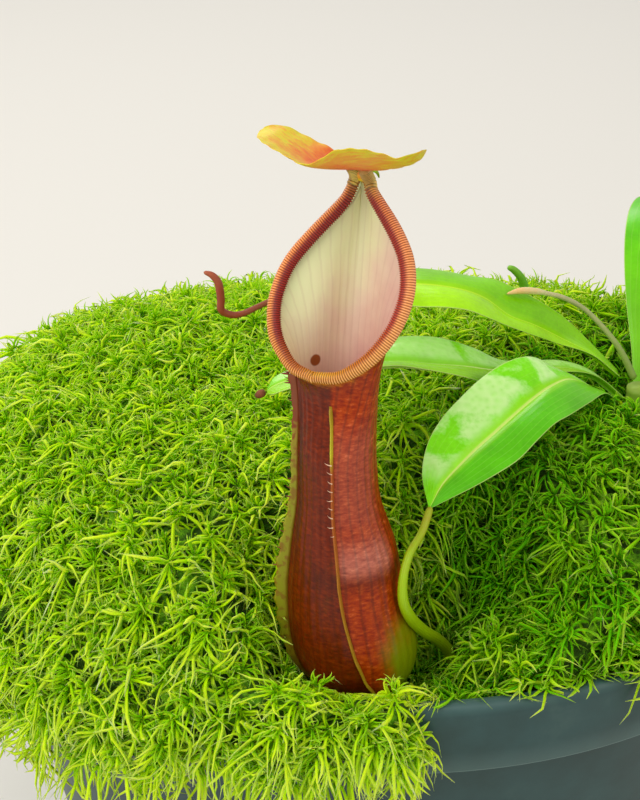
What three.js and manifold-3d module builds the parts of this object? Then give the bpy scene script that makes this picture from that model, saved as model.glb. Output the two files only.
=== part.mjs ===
// A pitcher plant in a round plastic pan: one large pitcher stands on a cushion of live moss, and
// the rosette that it belongs to leans over the pan's right side.
// Millimetres, +Z up. The origin is the centre of the pan's underside, and -Y is the front.

import * as THREE from 'three';
import { mergeVertices } from 'three/addons/utils/BufferGeometryUtils.js';
import Module from 'manifold-3d';

const wasm = await Module();
wasm.setup();

// Driving dimensions -------------------------------------------------------------------------

const GAP = 0.4; // left between pieces that touch
const TURN = 2 * Math.PI;

const POT_HEIGHT = 125;
const RIM_RADIUS = 112;
const FLOOR_RADIUS = 81; // inside, at the floor
const FLOOR_THICKNESS = 3;
const WALL_TAPER = 0.218; // how far the wall leans out for each mm of height
const WALL = 1.5;
const DRAIN_HOLES = 8;
const DRAIN_RADIUS = 6;
const DRAIN_CIRCLE = 62;

const MIX_TOP = 94.6;
const MOSS_BOTTOM = 95;
const MOSS_DOME = 36; // height of the cushion's middle above the rim
const MOSS_HOLLOW = 12; // depth below the rim of the hollow where the pitcher stands
const MOSS_SPILL = 30; // how far the moss hangs down outside the rim at the left front

const CROWN = [63, -12]; // where the stem stands
const STEM_RADIUS = 3.5;
const STEM_TOP = 155;
const STEM_FOOT = 62;

const FACING = THREE.MathUtils.degToRad(28); // the pitcher's mouth faces this far left of the front
const MOUTH_SLOPE = THREE.MathUtils.degToRad(56);
const WALL_OF_CUP = 1;
const LIP_THICKNESS = 2;

// Small helpers ------------------------------------------------------------------------------

const vec = (row) => new THREE.Vector3(row[0], row[1], row[2]);
const curveThrough = (rows) => new THREE.CatmullRomCurve3(rows.map(vec));
const lerp = THREE.MathUtils.lerp;
const smoothstep = THREE.MathUtils.smoothstep;

// Value between stations [position, value], joined by a smooth curve.
function along(stations, position, column = 1) {
  const last = stations.length - 1;
  const at = THREE.MathUtils.clamp(position, stations[0][0], stations[last][0]);
  let i = 0;
  while (i < last - 1 && at > stations[i + 1][0]) i += 1;
  const slope = (k) => {
    const before = stations[Math.max(k - 1, 0)];
    const after = stations[Math.min(k + 1, last)];
    return (after[column] - before[column]) / (after[0] - before[0]);
  };
  const span = stations[i + 1][0] - stations[i][0];
  const t = (at - stations[i][0]) / span;
  return (
    (2 * t ** 3 - 3 * t ** 2 + 1) * stations[i][column] +
    (t ** 3 - 2 * t ** 2 + t) * span * slope(i) +
    (3 * t ** 2 - 2 * t ** 3) * stations[i + 1][column] +
    (t ** 3 - t ** 2) * span * slope(i + 1)
  );
}

// A closed skin over a row of rings with the same number of points. Its two ends are closed by a
// fan, or, where it is endless, the last ring is joined to the first.
function loft(rings, endless = false) {
  const sides = rings[0].length;
  const points = rings.flat();
  const index = [];
  const bands = endless ? rings.length : rings.length - 1;
  for (let i = 0; i < bands; i += 1) {
    const here = i * sides;
    const next = ((i + 1) % rings.length) * sides;
    for (let j = 0; j < sides; j += 1) {
      const k = (j + 1) % sides;
      index.push(here + j, here + k, next + k);
      index.push(here + j, next + k, next + j);
    }
  }
  if (!endless) {
    for (const [ring, start] of [[rings[0], 0], [rings.at(-1), (rings.length - 1) * sides]]) {
      const centre = ring.reduce((sum, p) => sum.add(p), new THREE.Vector3());
      points.push(centre.divideScalar(sides));
      for (let j = 0; j < sides; j += 1) {
        const edge = [start + j, start + ((j + 1) % sides)];
        if (start === 0) edge.reverse();
        index.push(points.length - 1, ...edge);
      }
    }
  }
  const geometry = new THREE.BufferGeometry().setFromPoints(points);
  const outward = signedVolume(points, index) > 0;
  geometry.setIndex(outward ? index : index.reverse());
  return geometry;
}

function signedVolume(points, index) {
  let sum = 0;
  const across = new THREE.Vector3();
  for (let i = 0; i < index.length; i += 3) {
    across.crossVectors(points[index[i + 1]], points[index[i + 2]]);
    sum += points[index[i]].dot(across);
  }
  return sum;
}

function lathe(profile, segments = 48) {
  const outline = profile.map(([radius, height]) => new THREE.Vector2(radius, height));
  return new THREE.LatheGeometry(outline, segments).rotateX(Math.PI / 2);
}

function solid(geometry) {
  const bare = geometry.clone();
  bare.deleteAttribute('normal');
  bare.deleteAttribute('uv');
  const merged = mergeVertices(bare, 1e-4);
  const position = merged.getAttribute('position');
  const mesh = new wasm.Mesh({
    numProp: 3,
    vertProperties: new Float32Array(position.array),
    triVerts: new Uint32Array(merged.index.array),
  });
  return new wasm.Manifold(mesh);
}

function geometryOf(body) {
  const mesh = body.getMesh();
  const geometry = new THREE.BufferGeometry();
  geometry.setAttribute('position', new THREE.BufferAttribute(mesh.vertProperties, 3));
  geometry.setIndex(new THREE.BufferAttribute(mesh.triVerts, 1));
  return geometry;
}

const plant = new THREE.Group();

function addPiece(name, geometry, color, roughness = 0.5) {
  geometry.computeVertexNormals();
  const material = new THREE.MeshStandardMaterial({ color, roughness, metalness: 0 });
  const mesh = new THREE.Mesh(geometry, material);
  mesh.name = name;
  plant.add(mesh);
}

// A tapered round stem through stations [x, y, z, radius]. swell makes a fatter copy of it, to
// cut the room that it needs out of a neighbour.
function stem(stations, { sides = 8, steps = 3 * stations.length, swell = 0 } = {}) {
  const path = curveThrough(stations);
  const frames = path.computeFrenetFrames(steps);
  const rings = [];
  for (let i = 0; i <= steps; i += 1) {
    const share = path.getUtoTmapping(i / steps, null) * (stations.length - 1);
    const k = Math.min(Math.floor(share), stations.length - 2);
    const radius = lerp(stations[k][3], stations[k + 1][3], share - k) + swell;
    const centre = path.getPointAt(i / steps);
    const ring = [];
    for (let j = 0; j < sides; j += 1) {
      const angle = (j * TURN) / sides;
      const point = centre.clone();
      point.addScaledVector(frames.normals[i], radius * Math.cos(angle));
      point.addScaledVector(frames.binormals[i], radius * Math.sin(angle));
      ring.push(point);
    }
    rings.push(ring);
  }
  return loft(rings);
}

// Pot: a thin-walled pan, wider at the top, with a turned-down rim and drain holes ---------------

const innerRadius = (height) => FLOOR_RADIUS + (height - FLOOR_THICKNESS) * WALL_TAPER;

function potGeometry() {
  const rim = POT_HEIGHT;
  const pan = solid(
    lathe([
      [0, 0],
      [FLOOR_RADIUS - 1, 0],
      [FLOOR_RADIUS + 1.4, 2.2],
      [innerRadius(rim - 3.2) + WALL, rim - 3.2],
      [RIM_RADIUS - 1.7, rim - 3.2],
      [RIM_RADIUS - 2.3, rim - 18],
      [RIM_RADIUS - 1, rim - 18],
      [RIM_RADIUS, rim - 3.5],
      [RIM_RADIUS - 0.2, rim - 1],
      [RIM_RADIUS - 1.4, rim],
      [RIM_RADIUS - 3.4, rim],
      [innerRadius(rim - 1), rim - 1],
      [innerRadius(rim / 2), rim / 2],
      [FLOOR_RADIUS, FLOOR_THICKNESS],
      [0, FLOOR_THICKNESS],
    ]),
  );
  let pot = pan;
  for (let i = 0; i < DRAIN_HOLES; i += 1) {
    const angle = (i * TURN) / DRAIN_HOLES;
    const hole = new THREE.CylinderGeometry(DRAIN_RADIUS, DRAIN_RADIUS, 12, 12);
    hole.rotateX(Math.PI / 2);
    hole.translate(DRAIN_CIRCLE * Math.cos(angle), DRAIN_CIRCLE * Math.sin(angle), 0);
    pot = pot.subtract(solid(hole));
  }
  return geometryOf(pot);
}

// The ring of room that the pan's wall and rim need, for what lies in it and hangs over it.
function potRoom() {
  const rim = POT_HEIGHT;
  return solid(
    lathe([
      [innerRadius(60) - GAP, 60],
      [RIM_RADIUS - 0.6, 60],
      [RIM_RADIUS - 0.6, rim - 18],
      [RIM_RADIUS + GAP, rim - 4],
      [RIM_RADIUS + GAP, rim - 1],
      [RIM_RADIUS - 1.2, rim + GAP],
      [RIM_RADIUS - 4, rim + GAP],
      [innerRadius(rim) - GAP, rim - 0.8],
      [innerRadius(60) - GAP, 60],
    ]),
  );
}

// Stem and roots: both stand in a pocket of the mix ----------------------------------------------

const STEM = [
  [CROWN[0] + 1, CROWN[1] + 2, STEM_FOOT, STEM_RADIUS],
  [CROWN[0] + 1, CROWN[1] + 2, 95, STEM_RADIUS],
  [CROWN[0] + 0.5, CROWN[1] + 1, 125, STEM_RADIUS],
  [CROWN[0], CROWN[1], STEM_TOP, STEM_RADIUS - 0.5],
];
const ROOTS = 7;

// Wiry roots that leave a common foot under the stem and spread down and out.
function rootGeometry(swell = 0) {
  const foot = [STEM[0][0], STEM[0][1], STEM_FOOT - GAP - 3];
  const hub = new THREE.SphereGeometry(3 + swell, 10, 8);
  hub.translate(...foot);
  let roots = solid(hub);
  for (let i = 0; i < ROOTS; i += 1) {
    const angle = (i * TURN) / ROOTS + 0.4;
    const reach = 30 + 8 * Math.sin(3 * i);
    const depth = 26 + 6 * Math.cos(2 * i);
    const at = (share, drop, wave) => [
      foot[0] - share * 14 + share * reach * Math.cos(angle + wave),
      foot[1] + share * reach * Math.sin(angle + wave),
      foot[2] - drop * depth,
      lerp(1.3, 0.5, share),
    ];
    const root = stem([at(0, 0, 0), at(0.35, 0.25, 0.2), at(0.7, 0.6, -0.2), at(1, 1, 0.2)], {
      sides: 6,
      steps: 8,
      swell,
    });
    roots = roots.add(solid(root));
  }
  return roots;
}

function mixGeometry() {
  const fill = solid(
    lathe([
      [0, FLOOR_THICKNESS + GAP],
      [FLOOR_RADIUS - 1, FLOOR_THICKNESS + GAP],
      [innerRadius(MIX_TOP) - GAP, MIX_TOP],
      [0, MIX_TOP],
    ]),
  );
  const deepFoot = [STEM[0][0], STEM[0][1], STEM_FOOT - 2, STEM_RADIUS];
  const pocket = stem([deepFoot, ...STEM.slice(1)], { swell: 0.5 });
  return geometryOf(fill.subtract(rootGeometry(0.5)).subtract(solid(pocket)));
}

// Moss: a domed cushion with a hollow round the pitcher's foot and room round the crown ------------

// 1 in the hollow where the pitcher and its tendril enter the moss, falling to 0 on the cushion.
function inHollow(x, y) {
  const share = THREE.MathUtils.clamp((x + 10) / 24, 0, 1);
  const away = Math.hypot(x - lerp(-10, 14, share), y - lerp(-92, -86, share));
  return 1 - smoothstep(away, 9, 34);
}

// How far the moss hangs down outside the rim, by direction: most at the left front.
function mossSpill(angle) {
  const from = THREE.MathUtils.degToRad(160);
  const to = THREE.MathUtils.degToRad(277);
  if (angle < from || angle > to) return 0;
  const ends = smoothstep(angle, from, from + 0.1) * (1 - smoothstep(angle, to - 0.1, to));
  const swell = Math.sin((Math.PI * (angle - from)) / (to - from)) ** 2;
  return MOSS_SPILL * ends * lerp(0.2, 1, swell);
}

function mossHeight(x, y) {
  const radius = Math.min(Math.hypot(x, y) / RIM_RADIUS, 1);
  const behind = 0.5 * (y - 19 + Math.hypot(y - 19, 8));
  const dome = MOSS_DOME * (1 - radius ** 4) ** 0.6 * (1 - 0.0093 * behind);
  const hollow = inHollow(x, y);
  const open = lerp(dome, 0, hollow) - MOSS_HOLLOW * hollow;
  const crown = 1 - smoothstep(Math.hypot(x - CROWN[0], y - CROWN[1]), 9, 30);
  const height = POT_HEIGHT + lerp(open, Math.min(open, 13), crown);
  // where the moss spills over, it lies on top of the rim
  const spill = mossSpill((Math.atan2(y, x) + TURN) % TURN);
  const overRim = smoothstep(radius, 0.9, 0.985) * Math.min(spill / 4, 1);
  return lerp(height, Math.max(height, POT_HEIGHT + 2), overRim);
}

function mossGeometry() {
  const segments = 48;
  const inside = innerRadius(POT_HEIGHT) - GAP;
  const shares = [0.08, 0.2, 0.33, 0.46, 0.58, 0.7, 0.8, 0.89, 0.96, 1];
  const rings = shares.map(() => []);
  const skirt = [[], [], [], []];
  for (let j = 0; j < segments; j += 1) {
    const angle = (j * TURN) / segments;
    const spill = mossSpill(angle);
    const edge = inside + 0.8 + (spill > 0 ? 5 + 6 * Math.sqrt(spill / MOSS_SPILL) : 0);
    const place = (radius, height) =>
      new THREE.Vector3(radius * Math.cos(angle), radius * Math.sin(angle), height);
    shares.forEach((share, i) => {
      const radius = share * (edge - 2);
      rings[i].push(place(radius, mossHeight(radius * Math.cos(angle), radius * Math.sin(angle))));
    });
    const lip = rings.at(-1).at(-1).z;
    skirt[0].push(place(edge, Math.min(lip - 2, POT_HEIGHT)));
    skirt[1].push(place(edge - 0.5, Math.min(lip - 4, POT_HEIGHT - 4) - 0.8 * spill));
    skirt[2].push(place(inside - 0.5, Math.min(lip - 5, POT_HEIGHT - 6) - spill * 0.7));
    skirt[3].push(place(innerRadius(MOSS_BOTTOM) - GAP, MOSS_BOTTOM));
  }
  const cushion = solid(loft([...rings, ...skirt]));
  const below = new THREE.CylinderGeometry(innerRadius(90) - 4, innerRadius(90) - 4, 60, 32);
  below.rotateX(Math.PI / 2).translate(0, 0, MOSS_BOTTOM - 30);
  const taken = [
    potRoom(),
    solid(below),
    solid(cupOutside(0.6)),
    solid(stem(STEM, { swell: 0.5 })),
    solid(stem(FRONT_TENDRIL, { swell: 0.5 })),
    solid(stem(CURLED_SHOOT, { swell: 0.5 })),
  ];
  return geometryOf(taken.reduce((moss, room) => moss.subtract(room), cushion));
}

// Pitcher: its own directions, and the outline of its mouth ----------------------------------------

const FORWARD = new THREE.Vector3(-Math.sin(FACING), -Math.cos(FACING), 0);
const RIGHT = new THREE.Vector3(Math.cos(FACING), -Math.sin(FACING), 0);
const UP = new THREE.Vector3(0, 0, 1);
const MOUTH_UP = FORWARD.clone()
  .multiplyScalar(-Math.cos(MOUTH_SLOPE))
  .addScaledVector(UP, Math.sin(MOUTH_SLOPE));
const MOUTH_NORMAL = FORWARD.clone()
  .multiplyScalar(Math.sin(MOUTH_SLOPE))
  .addScaledVector(UP, Math.cos(MOUTH_SLOPE));
const MOUTH_ORIGIN = new THREE.Vector3(-19.7, -100, 194);

// The cup's lower part is round: radius, middle's x, height. Its middle lies in one plane.
const CUP_DEPTH = -90;
const CUP_PROFILE = curveThrough([
  [1, -7.2, 115],
  [5.6, -7.4, 116],
  [8.9, -7.9, 118.2],
  [13.3, -9.1, 124.4],
  [14.4, -9.9, 130.6],
  [13.4, -11.8, 142.7],
  [11.9, -12.5, 154.8],
  [9.4, -13.6, 166.6],
  [8.8, -14, 177],
]);
const CUP_JOIN = CUP_PROFILE.getPoint(1);

// The mouth's outline from the bottom of the lip to the neck: half width, distance up, and how far
// its middle leans to the right.
const MOUTH_HALF = curveThrough([
  [0, 6.5, -1.5],
  [5.3, 7.6, -1.2],
  [8.6, 10, -1.1],
  [12, 14, -1],
  [14.4, 20, -0.6],
  [14.9, 24.5, -0.2],
  [14.6, 28.5, 0.1],
  [13.5, 32.2, 0.4],
  [11.5, 36.2, 0.6],
  [8.8, 40.1, 0.3],
  [6.4, 43.1, -0.2],
  [4.1, 46, -1],
  [2.5, 48.6, -2],
  [1.8, 50.6, -2.4],
  [0, 51.8, -2.6],
]);
// Half width of the rolled lip, by share of the way from its bottom to the neck.
const LIP_HALF_WIDTH = [[0, 1], [0.1, 1.15], [0.25, 1.5], [0.6, 1.6], [0.8, 1.5], [1, 1.1]];

// A point of the mouth's middle line; turn runs from 0 at the lip's bottom over +-PI at the neck.
function mouthPoint(turn, drop = 0) {
  const half = MOUTH_HALF.getPointAt(Math.min(Math.abs(turn) / Math.PI, 1));
  return MOUTH_ORIGIN.clone()
    .addScaledVector(RIGHT, half.z + Math.sign(turn) * half.x)
    .addScaledVector(MOUTH_UP, half.y)
    .addScaledVector(MOUTH_NORMAL, -drop);
}

const outwardAt = (turn) =>
  FORWARD.clone().multiplyScalar(Math.cos(turn)).addScaledVector(RIGHT, Math.sin(turn));

function cupCircle(share, turn) {
  const at = CUP_PROFILE.getPoint(share);
  return new THREE.Vector3(at.y, CUP_DEPTH, at.z).addScaledVector(outwardAt(turn), at.x);
}

// The cup above its round part: each line up the wall bends from the circle to the mouth.
function cupWall(share, turn) {
  const start = cupCircle(1, turn);
  const behind = WALL_OF_CUP * 1.2 * smoothstep(Math.abs(turn), 1.2, 2.8);
  const end = mouthPoint(turn, LIP_THICKNESS / 2 + GAP + behind);
  const reach = start.distanceTo(end);
  const leave = UP.clone().addScaledVector(outwardAt(turn), -0.02).setLength(reach);
  const flare = 0.45 * smoothstep(Math.PI - Math.abs(turn), 0, 1.6);
  const arrive = UP.clone().addScaledVector(outwardAt(turn), flare).setLength(reach);
  const t = share;
  return start
    .multiplyScalar(2 * t ** 3 - 3 * t ** 2 + 1)
    .addScaledVector(leave, t ** 3 - 2 * t ** 2 + t)
    .addScaledVector(end, 3 * t ** 2 - 2 * t ** 3)
    .addScaledVector(arrive, t ** 3 - t ** 2);
}

const CUP_SIDES = 28;
const CUP_TURNS = Array.from({ length: CUP_SIDES }, (_, j) => (j * TURN) / CUP_SIDES - Math.PI);

// Any point of the wall: height runs from 0 at the foot over 1 at the join to 2 at the mouth.
// inset moves it off the surface, inwards where positive.
function cupPoint(height, turn, inset = 0) {
  const plain = (h, a) => (h <= 1 ? cupCircle(h, a) : cupWall(h - 1, a));
  const point = plain(height, turn);
  const step = 0.01;
  const upward = plain(Math.min(height + step, 2), turn).sub(plain(Math.max(height - step, 0), turn));
  const round = plain(height, turn + step).sub(plain(height, turn - step));
  return point.addScaledVector(round.cross(upward).normalize(), -inset);
}

const cupRing = (height, inset) => CUP_TURNS.map((turn) => cupPoint(height, turn, inset));
const LOW_HEIGHTS = [0, 0.1, 0.2, 0.3, 0.4, 0.52, 0.64, 0.76, 0.88, 1];
const HIGH_HEIGHTS = [1.15, 1.3, 1.45, 1.6, 1.75, 1.88, 2];

function cupOutside(swell) {
  const rings = LOW_HEIGHTS.slice(0, 6).map((height) => cupRing(height, -swell));
  rings.unshift(rings[0].map((point) => point.clone().setZ(point.z - swell)));
  return loft(rings);
}

function cupGeometry() {
  const heights = [...LOW_HEIGHTS, ...HIGH_HEIGHTS];
  const outside = heights.map((height) => cupRing(height, 0));
  const inside = heights.slice(1).map((height) => cupRing(height, WALL_OF_CUP));
  return loft([...outside, ...inside.reverse()]);
}

// The rolled lip: a flattened ring that follows the mouth.
function peristomeGeometry() {
  const count = 56;
  const rings = [];
  for (let i = 0; i < count; i += 1) {
    const turn = ((i + 0.5) * TURN) / count - Math.PI;
    const centre = mouthPoint(turn);
    const ahead = mouthPoint(turn + 0.02).sub(mouthPoint(turn - 0.02)).normalize();
    const across = new THREE.Vector3().crossVectors(ahead, MOUTH_NORMAL);
    const width = along(LIP_HALF_WIDTH, Math.abs(turn) / Math.PI);
    const ring = [];
    for (let j = 0; j < 8; j += 1) {
      const angle = (j * TURN) / 8;
      const point = centre.clone().addScaledVector(across, width * Math.cos(angle));
      ring.push(point.addScaledVector(MOUTH_NORMAL, 0.5 * LIP_THICKNESS * Math.sin(angle)));
    }
    rings.push(ring);
  }
  return loft(rings, true);
}

// Lid: a thin wavy oval over the mouth, on a short neck -------------------------------------------

const LID_CENTRE = [-13.3, -84.4];
const LID_HALF_WIDTH = 18.8;
const LID_HALF_LENGTH = 13;
const LID_THICKNESS = 0.8;
// Across the lid, from left to right: place, height of the middle, how steeply it rises to the front,
// and how far its front and back margins curl up.
const LID_WAVE = [
  [-18.8, 248.2, -2, 0],
  [-15, 247.4, 11, 0.2],
  [-11, 245.3, 15, 1],
  [-8.5, 243.9, 16, 1.6],
  [-6, 242.8, 18, 1.5],
  [-3, 242.6, 19, 0.6],
  [0, 243.1, 21, 0.4],
  [5, 244.4, 28, 1.4],
  [10, 245.8, 28, 1.3],
  [14, 246.9, 24, 1],
  [16, 247.9, 17, 0.6],
  [18.8, 250.2, 10, 0],
];

// A point of the lid: across and ahead both run from -1 to 1 over the oval.
function lidPoint(across, ahead) {
  const place = across * LID_HALF_WIDTH;
  const rise = THREE.MathUtils.degToRad(along(LID_WAVE, place, 2));
  const oval = Math.sqrt(Math.max(1 - across ** 2, 0));
  const reach = ahead * LID_HALF_LENGTH * oval;
  const height = along(LID_WAVE, place) + along(LID_WAVE, place, 3) * oval * ahead ** 2;
  return new THREE.Vector3(LID_CENTRE[0], LID_CENTRE[1], height)
    .addScaledVector(RIGHT, place)
    .addScaledVector(FORWARD, reach * Math.cos(rise))
    .addScaledVector(UP, reach * Math.sin(rise));
}

const NECK = [
  [-8.3, -75, 238.2, 2],
  [-8.6, -75.8, 239.2, 1.9],
  [-9.2, -77, 240.2, 1.9],
];
const SPUR = [
  [-6.8, -72.2, 237.4, 0.5],
  [-5.9, -70.2, 236.6, 0.45],
  [-5.2, -68.3, 235.2, 0.35],
  [-4.8, -67, 233.6, 0.15],
];

function lidGeometry() {
  const rings = [];
  const steps = 22;
  for (let i = 0; i <= steps; i += 1) {
    const across = -0.985 * Math.cos((i * Math.PI) / steps);
    const top = [-1, -0.5, 0, 0.5, 1].map((ahead) => lidPoint(across, ahead));
    const under = top.map((point) => point.clone().addScaledVector(UP, -LID_THICKNESS)).reverse();
    rings.push([...top, ...under]);
  }
  return geometryOf(solid(loft(rings)).add(solid(stem(NECK, { steps: 4 }))));
}

// Wings: two thin fringed ridges down the front of the cup -------------------------------------------

// By height above the ground: the turn at which the wing leaves the wall, and how far it stands out.
const RIGHT_WING = [
  [119.6, 49, 0.6],
  [126.6, 36, 1],
  [133, 30, 1.3],
  [140, 27, 1.4],
  [151, 22, 1.4],
  [167, 20, 1.3],
  [177, 21, 1.2],
  [185, 16, 1.1],
  [192, 10, 0.9],
];
const LEFT_WING = [
  [118, -50, 0.8],
  [124, -54, 1.4],
  [132, -56, 2.2],
  [142, -57, 2.9],
  [151, -57, 3],
  [160, -57, 2.4],
  [172, -58, 1.7],
  [189, -60, 1.7],
  [196, -62, 2.4],
];
const WING_THICKNESS = 0.8;

// The height share of the cup at which its wall, at this turn, stands this high above the ground.
function cupShareAt(level, turn) {
  let low = 0;
  let high = 2;
  for (let i = 0; i < 24; i += 1) {
    const middle = (low + high) / 2;
    if (cupPoint(middle, turn).z < level) low = middle;
    else high = middle;
  }
  return low;
}

function wingGeometry(stations) {
  const rings = [];
  const steps = 20;
  for (let i = 0; i <= steps; i += 1) {
    const level = lerp(stations[0][0], stations.at(-1)[0], i / steps);
    const turn = THREE.MathUtils.degToRad(along(stations, level));
    const height = along(stations, level, 2);
    const share = cupShareAt(level, turn);
    const root = cupPoint(share, turn, -GAP);
    const tip = cupPoint(share, turn, -GAP - height);
    const sideways = new THREE.Vector3().crossVectors(tip.clone().sub(root), UP);
    sideways.setLength(WING_THICKNESS / 2);
    rings.push([
      root.clone().add(sideways),
      tip.clone().addScaledVector(sideways, 0.5),
      tip.clone().addScaledVector(sideways, -0.5),
      root.clone().sub(sideways),
    ]);
  }
  return loft(rings);
}

// Leaves: each blade hangs on three lines, its far margin, its midrib and its near margin -------------

const LEAF_THICKNESS = 0.9;
const RIB_DEPTH = 1.8;

function leafGeometry({ far, middle, near }, steps = 16) {
  const [farLine, midLine, nearLine] = [far, middle, near].map(curveThrough);
  const rings = [];
  for (let i = 0; i <= steps; i += 1) {
    const t = i / steps;
    const [a, b, c] = [farLine, midLine, nearLine].map((line) => line.getPoint(t));
    const ahead = midLine.getTangent(t);
    const across = c.clone().sub(a);
    const lift = new THREE.Vector3().crossVectors(across, ahead).normalize();
    if (lift.z < 0) lift.negate();
    const arch = 0.06 * across.length();
    const upperHalf = a.clone().lerp(b, 0.5).addScaledVector(lift, arch * 0.5);
    const lowerHalf = b.clone().lerp(c, 0.5).addScaledVector(lift, arch * 0.5);
    const top = [a, upperHalf, b, lowerHalf, c];
    const depth = [0.5, 1, RIB_DEPTH, 1, 0.5].map((share) => share * LEAF_THICKNESS);
    const under = top.map((point, j) => point.clone().addScaledVector(lift, -depth[j]));
    rings.push([...top, ...under.reverse()]);
  }
  return loft(rings);
}

const FRONT_LEAF = {
  far: [
    [6.7, -84.1, 161],
    [5.5, -77, 165.5],
    [7, -70, 169.8],
    [10.2, -64, 172.6],
    [14.6, -58.5, 175.2],
    [19.9, -53, 177.9],
    [26.1, -47, 179.1],
    [32.3, -41, 177.5],
    [39.4, -34, 171.2],
    [46.3, -28, 164.8],
    [52.9, -22, 156.6],
    [59, -15.6, 147.1],
  ],
  middle: [
    [7.1, -84.2, 160.9],
    [9.9, -80, 164.3],
    [14.2, -75, 166.8],
    [18.5, -70, 168.7],
    [22.9, -65, 170.2],
    [27.3, -60, 171.8],
    [32, -54, 172.9],
    [36.7, -48, 173.3],
    [42.2, -40, 171.4],
    [48.5, -31.5, 164.6],
    [54.5, -23.5, 156],
    [60.9, -17.4, 146.5],
  ],
  near: [
    [7.5, -84.3, 160.9],
    [11, -82.5, 161.8],
    [17.2, -79.5, 163.5],
    [23.2, -76, 165.5],
    [28, -72, 166.9],
    [32.4, -67.5, 169.2],
    [36.8, -61.5, 170.2],
    [40.9, -55.5, 169.5],
    [46.6, -46, 168],
    [52, -35, 164.8],
    [56.9, -26, 156.6],
    [63, -18.6, 147.1],
  ],
};

const UPPER_LEAF = {
  far: [
    [-26.2, -33.6, 191.2],
    [-15.3, -26, 193.3],
    [-5.6, -21.5, 192.1],
    [6.2, -18.5, 190.5],
    [13.2, -16.5, 189],
    [19.7, -15, 187.3],
    [25.2, -14, 185.8],
    [31.3, -13, 182.3],
    [37.1, -11, 178.4],
    [44.7, -8, 171.8],
    [51.5, -8.2, 164.8],
    [57.8, -7.8, 157.9],
  ],
  middle: [
    [-26.3, -34.1, 191.1],
    [-15.3, -32, 192.8],
    [-5.7, -30, 192.4],
    [5.9, -28, 191],
    [11.7, -26.5, 189.8],
    [17.9, -25, 187.8],
    [22.7, -23.5, 185],
    [28.9, -21, 179.2],
    [35.6, -17, 174.7],
    [44, -12, 168.1],
    [51.2, -10.6, 163.5],
    [58, -9.8, 157.3],
  ],
  near: [
    [-26.2, -34.6, 191.2],
    [-15.3, -38, 192.9],
    [-5.9, -38.5, 191.3],
    [4.8, -37.5, 189.3],
    [11.3, -36.5, 188.8],
    [17.1, -35, 187.1],
    [21.9, -33, 184.3],
    [26.8, -29, 180.6],
    [33.6, -23, 175.3],
    [41.6, -15.8, 169],
    [50.9, -13, 164.4],
    [58.2, -11.8, 157.9],
  ],
};

const MIDDLE_LEAF = {
  far: [
    [-29.7, -64.2, 181],
    [-28.2, -60.6, 182],
    [-25.5, -58.2, 182.4],
    [-21, -55.5, 182.6],
    [-14.2, -50.5, 183.5],
    [0.9, -43.5, 184.3],
    [9.9, -39.5, 182.1],
    [18.8, -36, 177.5],
    [26, -33, 172.9],
    [42.2, -21, 166.9],
    [50, -16, 161.8],
    [57.3, -13.4, 154.4],
  ],
  middle: [
    [-29.8, -65, 180.7],
    [-28.6, -64, 181.3],
    [-25.8, -63, 182.2],
    [-21.5, -61.5, 182.8],
    [-14.2, -59, 183.5],
    [-0.5, -54, 182.8],
    [8.1, -50, 180.1],
    [17.1, -45, 177.1],
    [24.4, -40, 173.8],
    [43.2, -23.3, 166],
    [50.9, -17.9, 161],
    [58, -15.3, 153.9],
  ],
  near: [
    [-29.8, -65.8, 180.4],
    [-28.5, -67.2, 180.9],
    [-25.8, -67.4, 181.9],
    [-21.2, -67.2, 183.4],
    [-14.3, -66, 185.4],
    [-1.7, -63, 186],
    [6.5, -59, 183],
    [15.7, -53, 178.4],
    [23.3, -46, 173.2],
    [44.6, -25.8, 166.2],
    [52, -19.9, 161.6],
    [59, -17, 154.4],
  ],
};

// A leaf that the rosette sends out in another direction: it rises, arches and droops.
function archedLeaf({ direction, length, halfWidth, foot, rise, droop }) {
  const angle = THREE.MathUtils.degToRad(direction);
  const ahead = new THREE.Vector3(Math.cos(angle), Math.sin(angle), 0);
  const side = new THREE.Vector3(-Math.sin(angle), Math.cos(angle), 0);
  const start = new THREE.Vector3(CROWN[0], CROWN[1], foot).addScaledVector(ahead, 5.2);
  const lines = { far: [], middle: [], near: [] };
  const count = 10;
  for (let i = 0; i <= count; i += 1) {
    const s = 1 - i / count;
    const width = Math.max(halfWidth * Math.sin(Math.PI * s ** 1.1) ** 0.75, s > 0.5 ? 0.12 : 1.7);
    const height = rise * Math.sin(Math.PI * Math.min(s * 0.8, 0.5)) - droop * Math.max(s - 0.45, 0) ** 2;
    const spine = start.clone().addScaledVector(ahead, length * s).addScaledVector(UP, height);
    const edge = UP.clone().multiplyScalar(0.3 * width * (1 - s));
    lines.middle.push(spine.toArray());
    lines.far.push(spine.clone().addScaledVector(side, width).add(edge).toArray());
    lines.near.push(spine.clone().addScaledVector(side, -width).add(edge).toArray());
  }
  return lines;
}

const GUESSED_LEAVES = {
  right: { direction: -14, length: 92, halfWidth: 13, foot: 146, rise: 26, droop: 70 },
  back: { direction: 74, length: 96, halfWidth: 13, foot: 150, rise: 30, droop: 60 },
  low: { direction: -66, length: 78, halfWidth: 11, foot: 143, rise: 30, droop: 45 },
};

// Tendrils: each carries on from a leaf's tip -------------------------------------------------------------

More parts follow.
